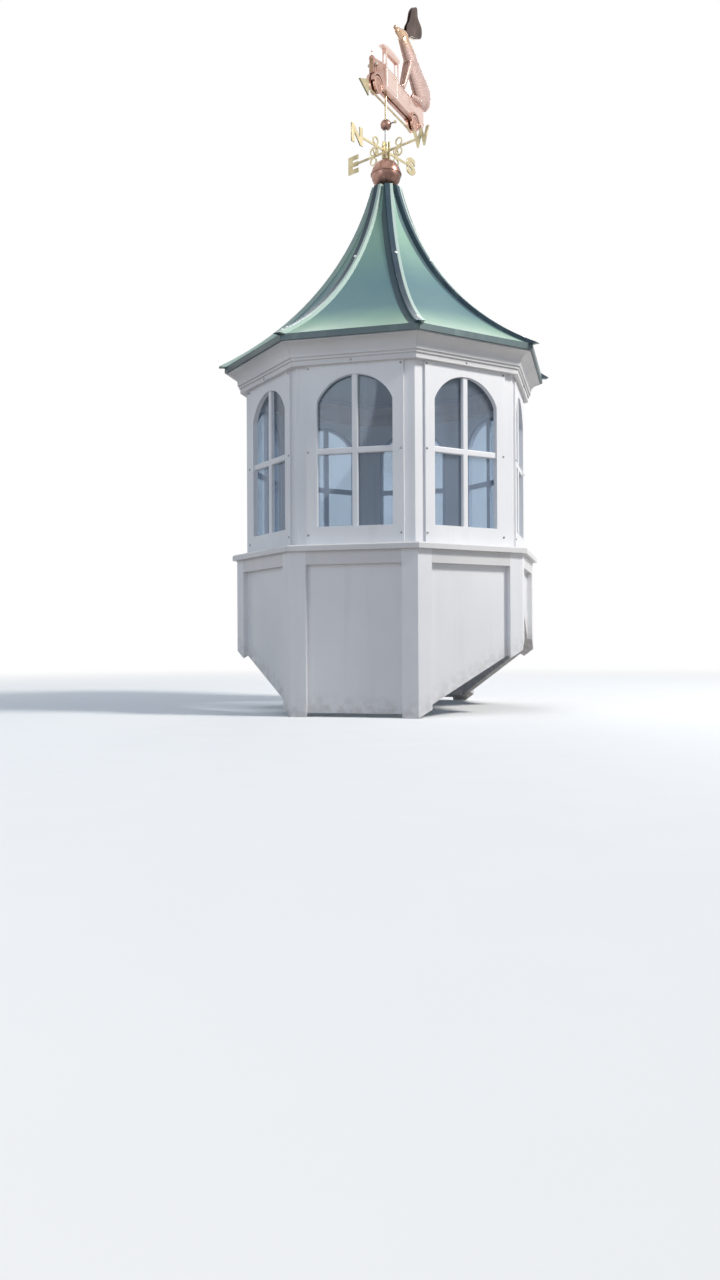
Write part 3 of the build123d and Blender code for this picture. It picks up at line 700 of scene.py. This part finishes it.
# %% [markdown]
# ## A screw head
# The window panels are held by small pan head screws, grey with weather. One head is turned like a
# pot on a wheel: rings of points, joined by faces. The innermost rings are not round: their radius
# swings four times in a turn, which makes the cross recess for the driver.
# %% A screw head
def cross_recess(size):
    return lambda angle: size * (0.42 + 0.58 * abs(math.cos(2 * angle)) ** 3)


def head_pattern(name, rings, sides):
    """One head of radius 1, kept out of the scene, for the fasteners to copy."""
    mesh = bpy.data.meshes.new(name)
    shape = turned_shape(rings, sides)
    shape.to_mesh(mesh)
    shape.free()
    print(name, len(mesh.polygons), "faces")
    return bpy.data.objects.new(name, mesh)


pan_rings = [(1.0, -0.2), (1.0, 0.18), (0.9, 0.40), (0.62, 0.56), (cross_recess(0.46), 0.60),
             (cross_recess(0.34), 0.22)]
dome_rings = [(1.15, -0.2), (1.15, 0.06), (1.0, 0.14), (0.93, 0.42), (0.72, 0.70), (0.38, 0.88)]
screw_head = head_pattern("screw_head_pattern", pan_rings, 16)
rivet_head = head_pattern("rivet_head_pattern", dome_rings, 12)

# %% [markdown]
# ## Finishes for the smallest parts
# A screw or a lens is a few millimetres wide, and one noise is all the detail that the eye finds on
# it. So one recipe makes them all: two tones, and a gloss and a bump that follow the same noise. A
# metal's dull patches have edges, and then the noise is sharpened first. Glass keeps it soft.
# %% Small finishes
def flecked(name, scale, tones, rough, duller, bump, edges=None, detail=3, **rest):
    finish = Finish(name)
    fleck = finish.noise(finish.place(), scale, detail)
    if edges:
        fleck = fleck.rising(*edges)
    return finish.surface(Base_Color=finish.tint(fleck, *tones), Roughness=rough + fleck * duller,
                          Normal=finish.bump(fleck, *bump), **rest)


metal_edges = (0.4, 0.7)
zinc_tones = (0.34, 0.345, 0.36), (0.15, 0.15, 0.155)
bright_tones = (0.80, 0.81, 0.82), (0.52, 0.54, 0.55)
screw_metal = flecked("weathered_zinc", 160, zinc_tones, 0.40, 0.25, (0.3, 0.0002), metal_edges,
                      Metallic=0.85)
rivet_metal = flecked("bright_rivet", 220, bright_tones, 0.25, 0.20, (0.2, 0.0002), metal_edges,
                      Metallic=1.0)
print("small metals:", screw_metal.name, rivet_metal.name)


# %% [markdown]
# ## Fasteners with Geometry Nodes
# There are dozens of fasteners, all alike. Copying objects by hand works, but a small node tree is
# easier to change: it takes loose points, puts one head on each, turns the head to the direction that
# the point carries, gives it its own twist from a fixed seed, and makes the copies real. A named
# attribute holds the direction. The result is turned into one plain mesh.
# %% The tree for fasteners
def fastener_tree():
    tree = bpy.data.node_groups.new("heads_on_points", "GeometryNodeTree")
    face = tree.interface
    face.new_socket(name="Points", in_out="INPUT", socket_type="NodeSocketGeometry")
    face.new_socket(name="Head", in_out="INPUT", socket_type="NodeSocketObject")
    face.new_socket(name="Head radius", in_out="INPUT", socket_type="NodeSocketFloat")
    face.new_socket(name="Seed", in_out="INPUT", socket_type="NodeSocketInt")
    face.new_socket(name="Finish", in_out="INPUT", socket_type="NodeSocketMaterial")
    face.new_socket(name="Heads", in_out="OUTPUT", socket_type="NodeSocketGeometry")
    new, link = tree.nodes.new, tree.links.new
    given = new("NodeGroupInput")
    made = new("NodeGroupOutput")
    head = new("GeometryNodeObjectInfo")
    facing = new("GeometryNodeInputNamedAttribute")
    facing.data_type = "FLOAT_VECTOR"
    facing.inputs["Name"].default_value = "facing"
    align = new("FunctionNodeAlignRotationToVector")
    align.axis = "Z"
    chance = new("FunctionNodeRandomValue")
    chance.data_type = "FLOAT"
    chance.inputs[3].default_value = math.tau
    twist = new("ShaderNodeCombineXYZ")
    to_turn = new("FunctionNodeEulerToRotation")
    both = new("FunctionNodeRotateRotation")
    both.rotation_space = "LOCAL"
    on_points = new("GeometryNodeInstanceOnPoints")
    real = new("GeometryNodeRealizeInstances")
    coat = new("GeometryNodeSetMaterial")
    link(given.outputs["Head"], head.inputs["Object"])
    link(facing.outputs["Attribute"], align.inputs["Vector"])
    link(given.outputs["Seed"], chance.inputs["Seed"])
    link(chance.outputs[1], twist.inputs["Z"])
    link(twist.outputs[0], to_turn.inputs[0])
    link(align.outputs[0], both.inputs[0])
    link(to_turn.outputs[0], both.inputs[1])
    link(given.outputs["Points"], on_points.inputs["Points"])
    link(head.outputs["Geometry"], on_points.inputs["Instance"])
    link(both.outputs[0], on_points.inputs["Rotation"])
    link(given.outputs["Head radius"], on_points.inputs["Scale"])
    link(on_points.outputs[0], real.inputs[0])
    link(real.outputs[0], coat.inputs["Geometry"])
    link(given.outputs["Finish"], coat.inputs["Material"])
    link(coat.outputs[0], made.inputs[0])
    return tree


heads_on_points = fastener_tree()
print("tree:", len(heads_on_points.nodes), "nodes")


# %% [markdown]
# ## Running the tree
# The points are a mesh of loose vertices. The modifier's inputs are set by the identifier of each
# socket before anything is evaluated, and the evaluated object becomes a plain mesh.
# %% Fasteners from points
def fasteners(name, head, spots, head_radius, material, body, seed=4):
    """spots are (place, direction) pairs."""
    cloud = bpy.data.meshes.new(name + "_spots")
    cloud.from_pydata([spot[0] for spot in spots], [], [])
    facing = cloud.attributes.new("facing", "FLOAT_VECTOR", "POINT")
    for item, spot in zip(facing.data, spots):
        item.vector = spot[1]
    carrier = bpy.data.objects.new(name + "_spots", cloud)
    bpy.context.scene.collection.objects.link(carrier)
    modifier = carrier.modifiers.new("heads", "NODES")
    modifier.node_group = heads_on_points
    wanted = {"Head": head, "Head radius": head_radius, "Seed": seed, "Finish": material}
    for item in heads_on_points.interface.items_tree:
        if item.name in wanted:
            modifier[item.identifier] = wanted[item.name]
    bpy.context.view_layer.update()
    graph = bpy.context.evaluated_depsgraph_get()
    mesh = bpy.data.meshes.new_from_object(carrier.evaluated_get(graph))
    mesh.name = name
    bpy.data.objects.remove(carrier)
    print(len(spots), "heads for", name)
    hand_over(name, mesh, body)


# %% [markdown]
# ## The window screws
# Seven screws show on each window side: two high, two at the level of the cross bar, two low, and
# one in the foot of the crown. Their places are read off one side and turned round the octagon.
# %% The window screws
screw_radius = 0.0042
panel_face = 0.530
crown_face = 0.5445
screw_columns = (-0.171, 0.168)
screw_rows = (1.2385, 0.941, 0.6455)
crown_screw = (-0.008, 1.2575, crown_face)
side_spots = [(across, height, panel_face) for height in screw_rows for across in screw_columns]
side_spots.append(crown_screw)
window_screws = []
for index in range(side_count):
    around = Matrix.Rotation(side_turn * index, 3, "Z")
    for across, height, reach in side_spots:
        window_screws.append((around @ Vector((across, -reach, height)), around @ Vector((0, -1, 0))))
fasteners("window_screws", screw_head, window_screws, screw_radius, screw_metal, "cupola")


# %% [markdown]
# ## Rivets on the hips
# Three bright rivets hold each hip cap: two close together at its foot, which go down into the eave,
# and one half way up. The roof line is an arc, so an angle on that arc gives a rivet its place and
# its direction together: it points at the arc's centre. On a corner the arc lies further out than on
# a side, by 1 / cos 22.5 degrees.
# %% Hip rivets
hip_rivet_radius = 0.0048
roof_arc_centre = Vector((1.1783, 2.3607))
roof_arc_radius = 1.164
cap_rise = 0.0102
cap_surface = roof_arc_radius - cap_rise
corner_stretch = 1 / math.cos(side_turn / 2)
rivet_angles = (30.6, 32.0, 58.5)
hip_rivets = []
for corner in range(side_count):
    around = Matrix.Rotation(side_turn * (corner + 0.5), 3, "Z")
    for degrees in rivet_angles:
        lean = math.radians(degrees)
        reach = (roof_arc_centre.x - cap_surface * math.sin(lean)) * corner_stretch
        height = roof_arc_centre.y - cap_surface * math.cos(lean)
        outward = Vector((math.sin(lean) / corner_stretch, 0, math.cos(lean))).normalized()
        hip_rivets.append((around @ Vector((reach, 0, height)), around @ outward))
fasteners("hip_rivets", rivet_head, hip_rivets, hip_rivet_radius, rivet_metal, "cupola")


# %% [markdown]
# ## Letters cut from plate
# The compass letters are cut from brass plate, so each one is a text object with a little depth. Its
# outline is swollen by the offset to make it bold, and it becomes a mesh before it is placed.
# %% Letter plates
letter_swell = 0.0042
letter_half_depth = 0.0022
letter_bevel = 0.0005


def letter_plate(letter):
    """The mesh of a bold letter, not yet at its size."""
    curve = bpy.data.curves.new("letter_" + letter, "FONT")
    curve.body = letter
    curve.size = 0.1
    curve.offset = letter_swell
    curve.extrude = letter_half_depth
    curve.bevel_depth = letter_bevel
    curve.resolution_u = 6
    holder = bpy.data.objects.new("letter_" + letter, curve)
    bpy.context.scene.collection.objects.link(holder)
    graph = bpy.context.evaluated_depsgraph_get()
    graph.update()
    mesh = bpy.data.meshes.new_from_object(holder.evaluated_get(graph))
    bpy.data.objects.remove(holder)
    print("plate", letter, len(mesh.polygons), "faces")
    return mesh


# %% [markdown]
# ## Letters on the arms
# A letter stands on the end of each direction arm. One such as W leans away from the arm at half
# height, so the mesh is asked where its metal begins at that height, and the letter is moved until
# the arm reaches it. N and E are read towards the mast, and the other two away from it.
# %% Compass letters
letter_height = 0.072
letter_widths = {"N": 0.066, "W": 0.078, "S": 0.056, "E": 0.054}
letter_lap = 0.004
arm_end = 0.152
arm_level = 2.2455
arm_azimuths = (("N", -116, True), ("W", -26, False), ("S", 64, False), ("E", 154, True))


def metal_begins(mesh, level):
    """Smallest and largest x of the plate at one height."""
    crossings = []
    for edge in mesh.edges:
        a, b = (mesh.vertices[i].co for i in edge.vertices)
        if (a.y - level) * (b.y - level) < 0:
            share = (level - a.y) / (b.y - a.y)
            crossings.append(a.x + (b.x - a.x) * share)
    return min(crossings), max(crossings)


def letter_onto(shape, letter, azimuth, reads_inward):
    """Adds a letter that stands on the end of the arm at an azimuth."""
    mesh = letter_plate(letter)
    low = min(v.co.y for v in mesh.vertices)
    high = max(v.co.y for v in mesh.vertices)
    size = letter_height / (high - low)
    all_x = [vertex.co.x for vertex in mesh.vertices]
    breadth = letter_widths[letter] / (max(all_x) - min(all_x))
    middle = (low + high) / 2
    left, right = metal_begins(mesh, middle + 0.0001)
    out = Vector((math.cos(math.radians(azimuth)), math.sin(math.radians(azimuth)), 0))
    along = -out if reads_inward else out
    near = right if reads_inward else left
    start = out * (arm_end - letter_lap) + up * arm_level
    facing = along.cross(up)
    for vertex in mesh.vertices:
        x, y, z = vertex.co
        vertex.co = start + along * (x - near) * breadth + up * (y - middle) * size + facing * z
    shape.from_mesh(mesh)
    bpy.data.meshes.remove(mesh)


letters = bmesh.new()
for letter, azimuth, reads_inward in arm_azimuths:
    letter_onto(letters, letter, azimuth, reads_inward)
bmesh.ops.remove_doubles(letters, verts=letters.verts, dist=0.00002)
bmesh.ops.recalc_face_normals(letters, faces=letters.faces)
piece_from("compass_letters", letters, arm_brass, "cupola")


# %% [markdown]
# ## Places on the vane
# The truck and the dog are modelled along an arrow that the wind has turned 104 degrees away from
# the x axis. Their small parts are easiest to place by a distance along the arrow, a distance to its
# left and a height, so one function turns these three into a place.
# %% Places on the vane
vane_axes = Matrix.Rotation(vane_turn, 3, "Z")


def on_vane(along, left, height):
    return vane_axes @ Vector((along, left, height))


def vane_ring(shape, centre, direction, rings, sides):
    """Adds a turned form with its axis along a direction."""
    part = turned_shape(rings, sides)
    turn = Vector((0, 0, 1)).rotation_difference(direction).to_matrix().to_4x4()
    bmesh.ops.transform(part, matrix=Matrix.Translation(centre) @ turn, verts=part.verts)
    scratch = bpy.data.meshes.new("scratch")
    part.to_mesh(scratch)
    part.free()
    shape.from_mesh(scratch)
    bpy.data.meshes.remove(scratch)


ahead = vane_axes @ Vector((1, 0, 0))
leftward = vane_axes @ Vector((0, 1, 0))
print("arrow points to", [round(v, 3) for v in ahead])

# %% [markdown]
# ## Headlamp rims and lenses
# Each bullet lamp is closed by a clear lens in a rolled rim. Both are turned forms again: the rim a
# small ring with a round section, the lens a low dome inside it.
# %% Headlamps
lamp_front = 0.112
lamp_height = 2.5406
lamp_across = 0.016
lamp_rim = [(0.0048, -0.0004), (0.0060, -0.0006), (0.0064, 0.0004), (0.0060, 0.0014), (0.0050, 0.0015),
            (0.0046, 0.0006)]
lamp_dome = [(0.0049, 0.0005), (0.0047, 0.0014), (0.0036, 0.0024), (0.0016, 0.0030)]
soft_bump = (0.1, 0.0001)
lens_tones = (0.78, 0.79, 0.76), (0.62, 0.62, 0.58)
lens_look = flecked("lamp_lens", 260, lens_tones, 0.08, 0.12, soft_bump, Coat_Weight=0.6)
rims = bmesh.new()
lenses = bmesh.new()
for side in (-1, 1):
    centre = on_vane(lamp_front, side * lamp_across, lamp_height)
    vane_ring(rims, centre, ahead, lamp_rim, 24)
    vane_ring(lenses, centre, ahead, lamp_dome, 24)
piece_from("lamp_rims", rims, tube_brass, "vane")
piece_from("lamp_lenses", lenses, lens_look, "vane")

# %% [markdown]
# ## The radiator's grille
# Upright bars stand in the sunk core of the radiator. One bar is a thin upright with a bevelled
# front edge, and seven of them at one pitch fill the core. The core has a rounded top, so the bars
# at the middle reach higher than those at its sides.
# %% Grille bars
bar_count = 7
core_half = 0.0068
core_foot = 2.5075
core_shoulder = 2.5578
core_crown = 0.0068
bar_section = [(0.1206, -0.0004), (0.1222, -0.0004), (0.1226, 0.0), (0.1222, 0.0004), (0.1206, 0.0004)]
grille = bmesh.new()
for number in range(bar_count):
    left = -core_half + 2 * core_half * number / (bar_count - 1)
    bend = 1 - abs(left) / core_half
    head = core_shoulder + core_crown * math.sqrt(max(0.0, bend))
    low_loop = [grille.verts.new(on_vane(u, left + w, core_foot)) for u, w in bar_section]
    high_loop = [grille.verts.new(on_vane(u, left + w, head)) for u, w in bar_section]
    for a in range(len(bar_section)):
        b = (a + 1) % len(bar_section)
        grille.faces.new((low_loop[a], low_loop[b], high_loop[b], high_loop[a]))
    grille.faces.new(list(reversed(low_loop)))
    grille.faces.new(high_loop)
bmesh.ops.recalc_face_normals(grille, faces=grille.faces)
piece_from("grille_bars", grille, tube_brass, "vane")

# %% [markdown]
# ## Rivets, hinges and hub nuts of the truck
# Small domes stand where the door hangs on its hinges, along the bed's rail and round the wheels'
# hubs. They are the rivets of the roof again, smaller and of copper.
# %% The truck's rivets
truck_rivet_radius = 0.0013
truck_side = 0.009
hinge_place = 0.001
hinge_heights = (2.514, 2.552)
rail_start = -0.113
rail_pitch = 0.0225
rail_proud = 0.0014
rail_height = 2.566
rail_rivet_count = 11
hub_face = 0.0158
nut_sunk = 0.0014
nut_circle = 0.0135
nut_count = 5
vane_rivets = []
for side in (-1, 1):
    out = leftward * side
    for height in hinge_heights:
        vane_rivets.append((on_vane(hinge_place, side * truck_side, height), out))
    for step in range(rail_rivet_count):
        along = rail_start - rail_pitch * step
        vane_rivets.append((on_vane(along, side * (truck_side + rail_proud), rail_height), out))
    for axle in (front_axle, rear_axle):
        for nut in range(nut_count):
            angle = math.tau * (nut + 0.25) / nut_count
            along = axle + nut_circle * math.cos(angle)
            height = axle_level + nut_circle * math.sin(angle)
            vane_rivets.append((on_vane(along, side * (hub_face - nut_sunk), height), out))
rivet_copper = copper("rivet_copper", (0.90, 0.62, 0.50), (0.45, 0.22, 0.15), 0.3)
fasteners("truck_rivets", rivet_head, vane_rivets, truck_rivet_radius, rivet_copper, "vane")

# %% [markdown]
# ## The dog's eyes
# Each eye is a dark bead in a raised lid of the near-black copper that paints the ears' shade. The bead
# and the lid are turned forms laid against the side of the head, where the photograph shows a dark spot.
# The direction leans down and forwards, as the cheek does there.
# %% The dog's eyes
eye_along = -0.143
eye_across = 0.0120
eye_height = 2.7808
eye_bead = [(0.0027, -0.0014), (0.0027, 0.0006), (0.0021, 0.0015), (0.0011, 0.0020)]
eye_lid = [(0.0030, -0.0012), (0.0043, -0.0008), (0.0044, 0.0004), (0.0037, 0.0010), (0.0030, 0.0008)]
eye_tones = (0.030, 0.020, 0.016), (0.012, 0.009, 0.008)
eye_look = flecked("eye_glass", 400, eye_tones, 0.3, 0.1, soft_bump, detail=2, Specular_IOR_Level=0.25)
beads = bmesh.new()
lids = bmesh.new()
for side in (-1, 1):
    centre = on_vane(eye_along, side * eye_across, eye_height)
    cheek = (vane_axes @ Vector((0.19, side * 0.90, -0.40))).normalized()
    vane_ring(beads, centre, cheek, eye_bead, 20)
    vane_ring(lids, centre, cheek, eye_lid, 24)
piece_from("dog_eyes", beads, eye_look, "vane")
piece_from("dog_eyelids", lids, ear_shade_copper, "vane")

# %% [markdown]
# ## Solder on the brass
# The spindle tube is soldered into the truck's frame above and to the arrow's rod at its middle.
# Solder draws itself up into a small hollow ring at such a joint, so each ring has a concave section.
# %% Solder rings
frame_underside = 2.4796
rod_height = 2.432
rod_start = 0.0044
frame_fillet = [(0.0046, -0.0038), (0.0050, -0.0036), (0.0058, -0.0020), (0.0070, -0.0008),
                (0.0078, 0.0002), (0.0046, 0.0004)]
rod_fillet = [(0.0041, -0.0012), (0.0062, -0.0008), (0.0056, 0.0010), (0.0048, 0.0024), (0.0041, 0.0032)]
solder_tones = (0.72, 0.66, 0.50), (0.42, 0.38, 0.30)
solder_look = flecked("solder", 300, solder_tones, 0.32, 0.2, (0.3, 0.0002), (0.35, 0.7), Metallic=0.9)
joints = bmesh.new()
vane_ring(joints, up * frame_underside, up, frame_fillet, 32)
for side in (-1, 1):
    vane_ring(joints, on_vane(side * rod_start, 0, rod_height), ahead * side, rod_fillet, 24)
piece_from("solder_rings", joints, solder_look, "vane")

# %% [markdown]
# ## The collar on the ball
# The hub of the compass arms stands on the copper ball in a low turned collar, which hides the hole
# that the mast comes out of. A small screw in the hub's side keeps the arms from turning.
# %% Collar and hub screw
collar_rings = [(0.0121, 2.2088), (0.0205, 2.2068), (0.0212, 2.2084), (0.0190, 2.2112),
                (0.0150, 2.2124), (0.0130, 2.2140), (0.0121, 2.2138)]
hub_radius = 0.0119
hub_screw_height = 2.2672
hub_screw_radius = 0.0034
hub_screw_turn = math.radians(-71)
piece_from("hub_collar", turned_shape(collar_rings, 48), ball_copper, "cupola")
hub_way = Vector((math.cos(hub_screw_turn), math.sin(hub_screw_turn), 0))
hub_spot = (hub_way * hub_radius + up * hub_screw_height, hub_way)
fasteners("hub_screw", screw_head, [hub_spot], hub_screw_radius, screw_metal, "cupola")

# %% [markdown]
# ## The knurled head of the thumb screw
# The spacer ball is held on the mast by a thumb screw. Its shank is in the model and its head is
# made here: a short turned head whose radius swings sixteen times in a turn, which gives the knurls.
# %% The thumb screw's head
thumb_turn = math.radians(-20)
thumb_height = 2.353
shank_end = 0.0420
knurl_count = 16
knurl_depth = 0.05


def knurl(size):
    return lambda angle: size * (1 + knurl_depth * math.cos(knurl_count * angle))


thumb_way = Vector((math.cos(thumb_turn), math.sin(thumb_turn), 0))
thumb_rings = [(0.0026, -0.0012), (knurl(0.0050), 0.0), (knurl(0.0055), 0.0006), (knurl(0.0055), 0.0058),
               (knurl(0.0050), 0.0064), (0.0030, 0.0066)]
thumb_head = bmesh.new()
vane_ring(thumb_head, up * thumb_height + thumb_way * shank_end, thumb_way, thumb_rings, 64)
piece_from("thumb_screw_head", thumb_head, tube_brass, "cupola")

# %% [markdown]
# ## Door handles and tail lamps
# A small lever stands on each door below its upper edge, and a round lamp sits low on each side of
# the bed's back. All are turned forms laid along the vane's own directions.
# %% Handles and tail lamps
handle_height = 2.5750
lever_middle = -0.0770
lever_across = 0.0108
post_along = -0.0740
tail_along = -0.3460
tail_across = 0.0060
tail_height = 2.5080
lever_rings = [(0.0007, -0.0070), (0.0011, -0.0062), (0.0012, 0.0), (0.0010, 0.0052), (0.0005, 0.0060)]
post_rings = [(0.0013, -0.0008), (0.0013, 0.0014), (0.0010, 0.0018)]
tail_rim = [(0.0034, -0.0006), (0.0046, -0.0006), (0.0046, 0.0012), (0.0038, 0.0016), (0.0034, 0.0008)]
tail_dome = [(0.0035, -0.0006), (0.0033, 0.0010), (0.0018, 0.0019)]
red_tones = (0.42, 0.10, 0.07), (0.28, 0.08, 0.06)
red_look = flecked("red_lens", 260, red_tones, 0.15, 0.1, soft_bump, Coat_Weight=0.5)
handles = bmesh.new()
tail_rims = bmesh.new()
tail_lenses = bmesh.new()
for side in (-1, 1):
    vane_ring(handles, on_vane(lever_middle, side * lever_across, handle_height), ahead, lever_rings, 12)
    post_foot = on_vane(post_along, side * truck_side, handle_height)
    vane_ring(handles, post_foot, leftward * side, post_rings, 12)
    tail_place = on_vane(tail_along, side * tail_across, tail_height)
    vane_ring(tail_rims, tail_place, -ahead, tail_rim, 20)
    vane_ring(tail_lenses, tail_place, -ahead, tail_dome, 20)
piece_from("door_handles", handles, tube_brass, "vane")
piece_from("tail_lamp_rims", tail_rims, tube_brass, "vane")
piece_from("tail_lamp_lenses", tail_lenses, red_look, "vane")

# %% [markdown]
# ## What sees the background
# The floor and the world are pale for the rays that see them straight, in a mirror or through glass,
# and dimmer for the light that they give. The Light Path node tells these rays apart.
# %% Rays that see the background
def seen_straight(finish):
    """1 for rays from the camera, from a mirror or through glass, and 0 for the light itself."""
    seen = finish.get("ShaderNodeLightPath", output="Is Camera Ray")
    for ray in ("Is Glossy Ray", "Is Transmission Ray"):
        seen = seen.most(finish.get("ShaderNodeLightPath", output=ray))
    return seen


print("background mask ready")

# %% [markdown]
# ## The floor
# The cupola stands on a plain pale floor that fades into white before it ends. The light that the
# floor throws back up is warm and dim, as from a roof, or the crown's underside would be too bright.
# %% Floor
floor_half = 30
floor_drop = 0.0005
fade_starts = 1.2
fade_ends = 6.5
pale_tones = (0.80, 0.80, 0.80), (0.83, 0.83, 0.82)
bounce_tone = (0.40, 0.37, 0.34)
floor_mesh = bpy.data.meshes.new("pale_floor")
floor_shape = bmesh.new()
bmesh.ops.create_grid(floor_shape, x_segments=8, y_segments=8, size=floor_half)
floor_shape.to_mesh(floor_mesh)
floor_shape.free()
floor = bpy.data.objects.new("pale_floor", floor_mesh)
floor.location.z = -floor_drop
bpy.context.scene.collection.objects.link(floor)
ground = Finish("pale_floor")
ground_place = ground.place()
pale = ground.tint(ground.noise(ground_place, 6, 4), *pale_tones)
floor_x, floor_y, _ = ground.split(ground_place)
far_away = ((floor_x * floor_x + floor_y * floor_y) ** 0.5).rising(fade_starts, fade_ends)
seen_floor = seen_straight(ground)
floor_tone = ground.tint(seen_floor, bounce_tone, pale)
matt = ground.add("ShaderNodeBsdfDiffuse", {}, {"Color": floor_tone, "Roughness": 0.4})
bright = ground.add("ShaderNodeEmission", {}, {"Color": (1, 1, 1, 1), "Strength": 1.0})
fading = {0: far_away * seen_floor, 1: matt.outputs[0], 2: bright.outputs[0]}
floor_mesh.materials.append(ground.end_in(ground.add("ShaderNodeMixShader", {}, fading)))
print("floor", 2 * floor_half, "m wide")

# %% [markdown]
# ## The world and the lamps
# The world is white for the rays that see it, and a softer blue for the light it gives, like the open
# sky. A broad warm lamp high at the right stands for the sun. A weak cool one lightens the shaded
# left, and a third one behind keeps the back of the roof from going dark.
# %% World and lamps
sky_blue = (0.71, 0.83, 1.0, 1)
sky_strength = 0.50
world = bpy.data.worlds.new("white_room")
bpy.context.scene.world = world
sky = Finish("white_room", world)
soft = sky.add("ShaderNodeBackground", {}, {"Color": sky_blue, "Strength": sky_strength})
white = sky.add("ShaderNodeBackground", {}, {"Color": (1, 1, 1, 1), "Strength": 1.0})
choice = {0: seen_straight(sky), 1: soft.outputs[0], 2: white.outputs[0]}
sky.end_in(sky.add("ShaderNodeMixShader", {}, choice), "ShaderNodeOutputWorld")


def lamp(name, place, aim, size, power, colour):
    light = bpy.data.lights.new(name, "AREA")
    light.shape = "DISK"
    light.size = size
    light.energy = power
    light.color = colour
    holder = bpy.data.objects.new(name, light)
    holder.location = place
    toward = Vector(aim) - Vector(place)
    holder.rotation_euler = toward.to_track_quat("-Z", "Y").to_euler()
    bpy.context.scene.collection.objects.link(holder)
    print(name, power, "W")


lamp("sun_side", (5.0, -0.9, 5.2), (0, 0, 1.3), 1.3, 440, (1.0, 0.965, 0.915))
lamp("shade_side", (-2.2, -4.6, 2.4), (0, 0, 1.3), 2.6, 30, (0.84, 0.91, 1.0))
lamp("sky_side", (-0.8, 3.6, 4.4), (0, 0, 1.4), 2.6, 70, (0.95, 0.98, 1.0))
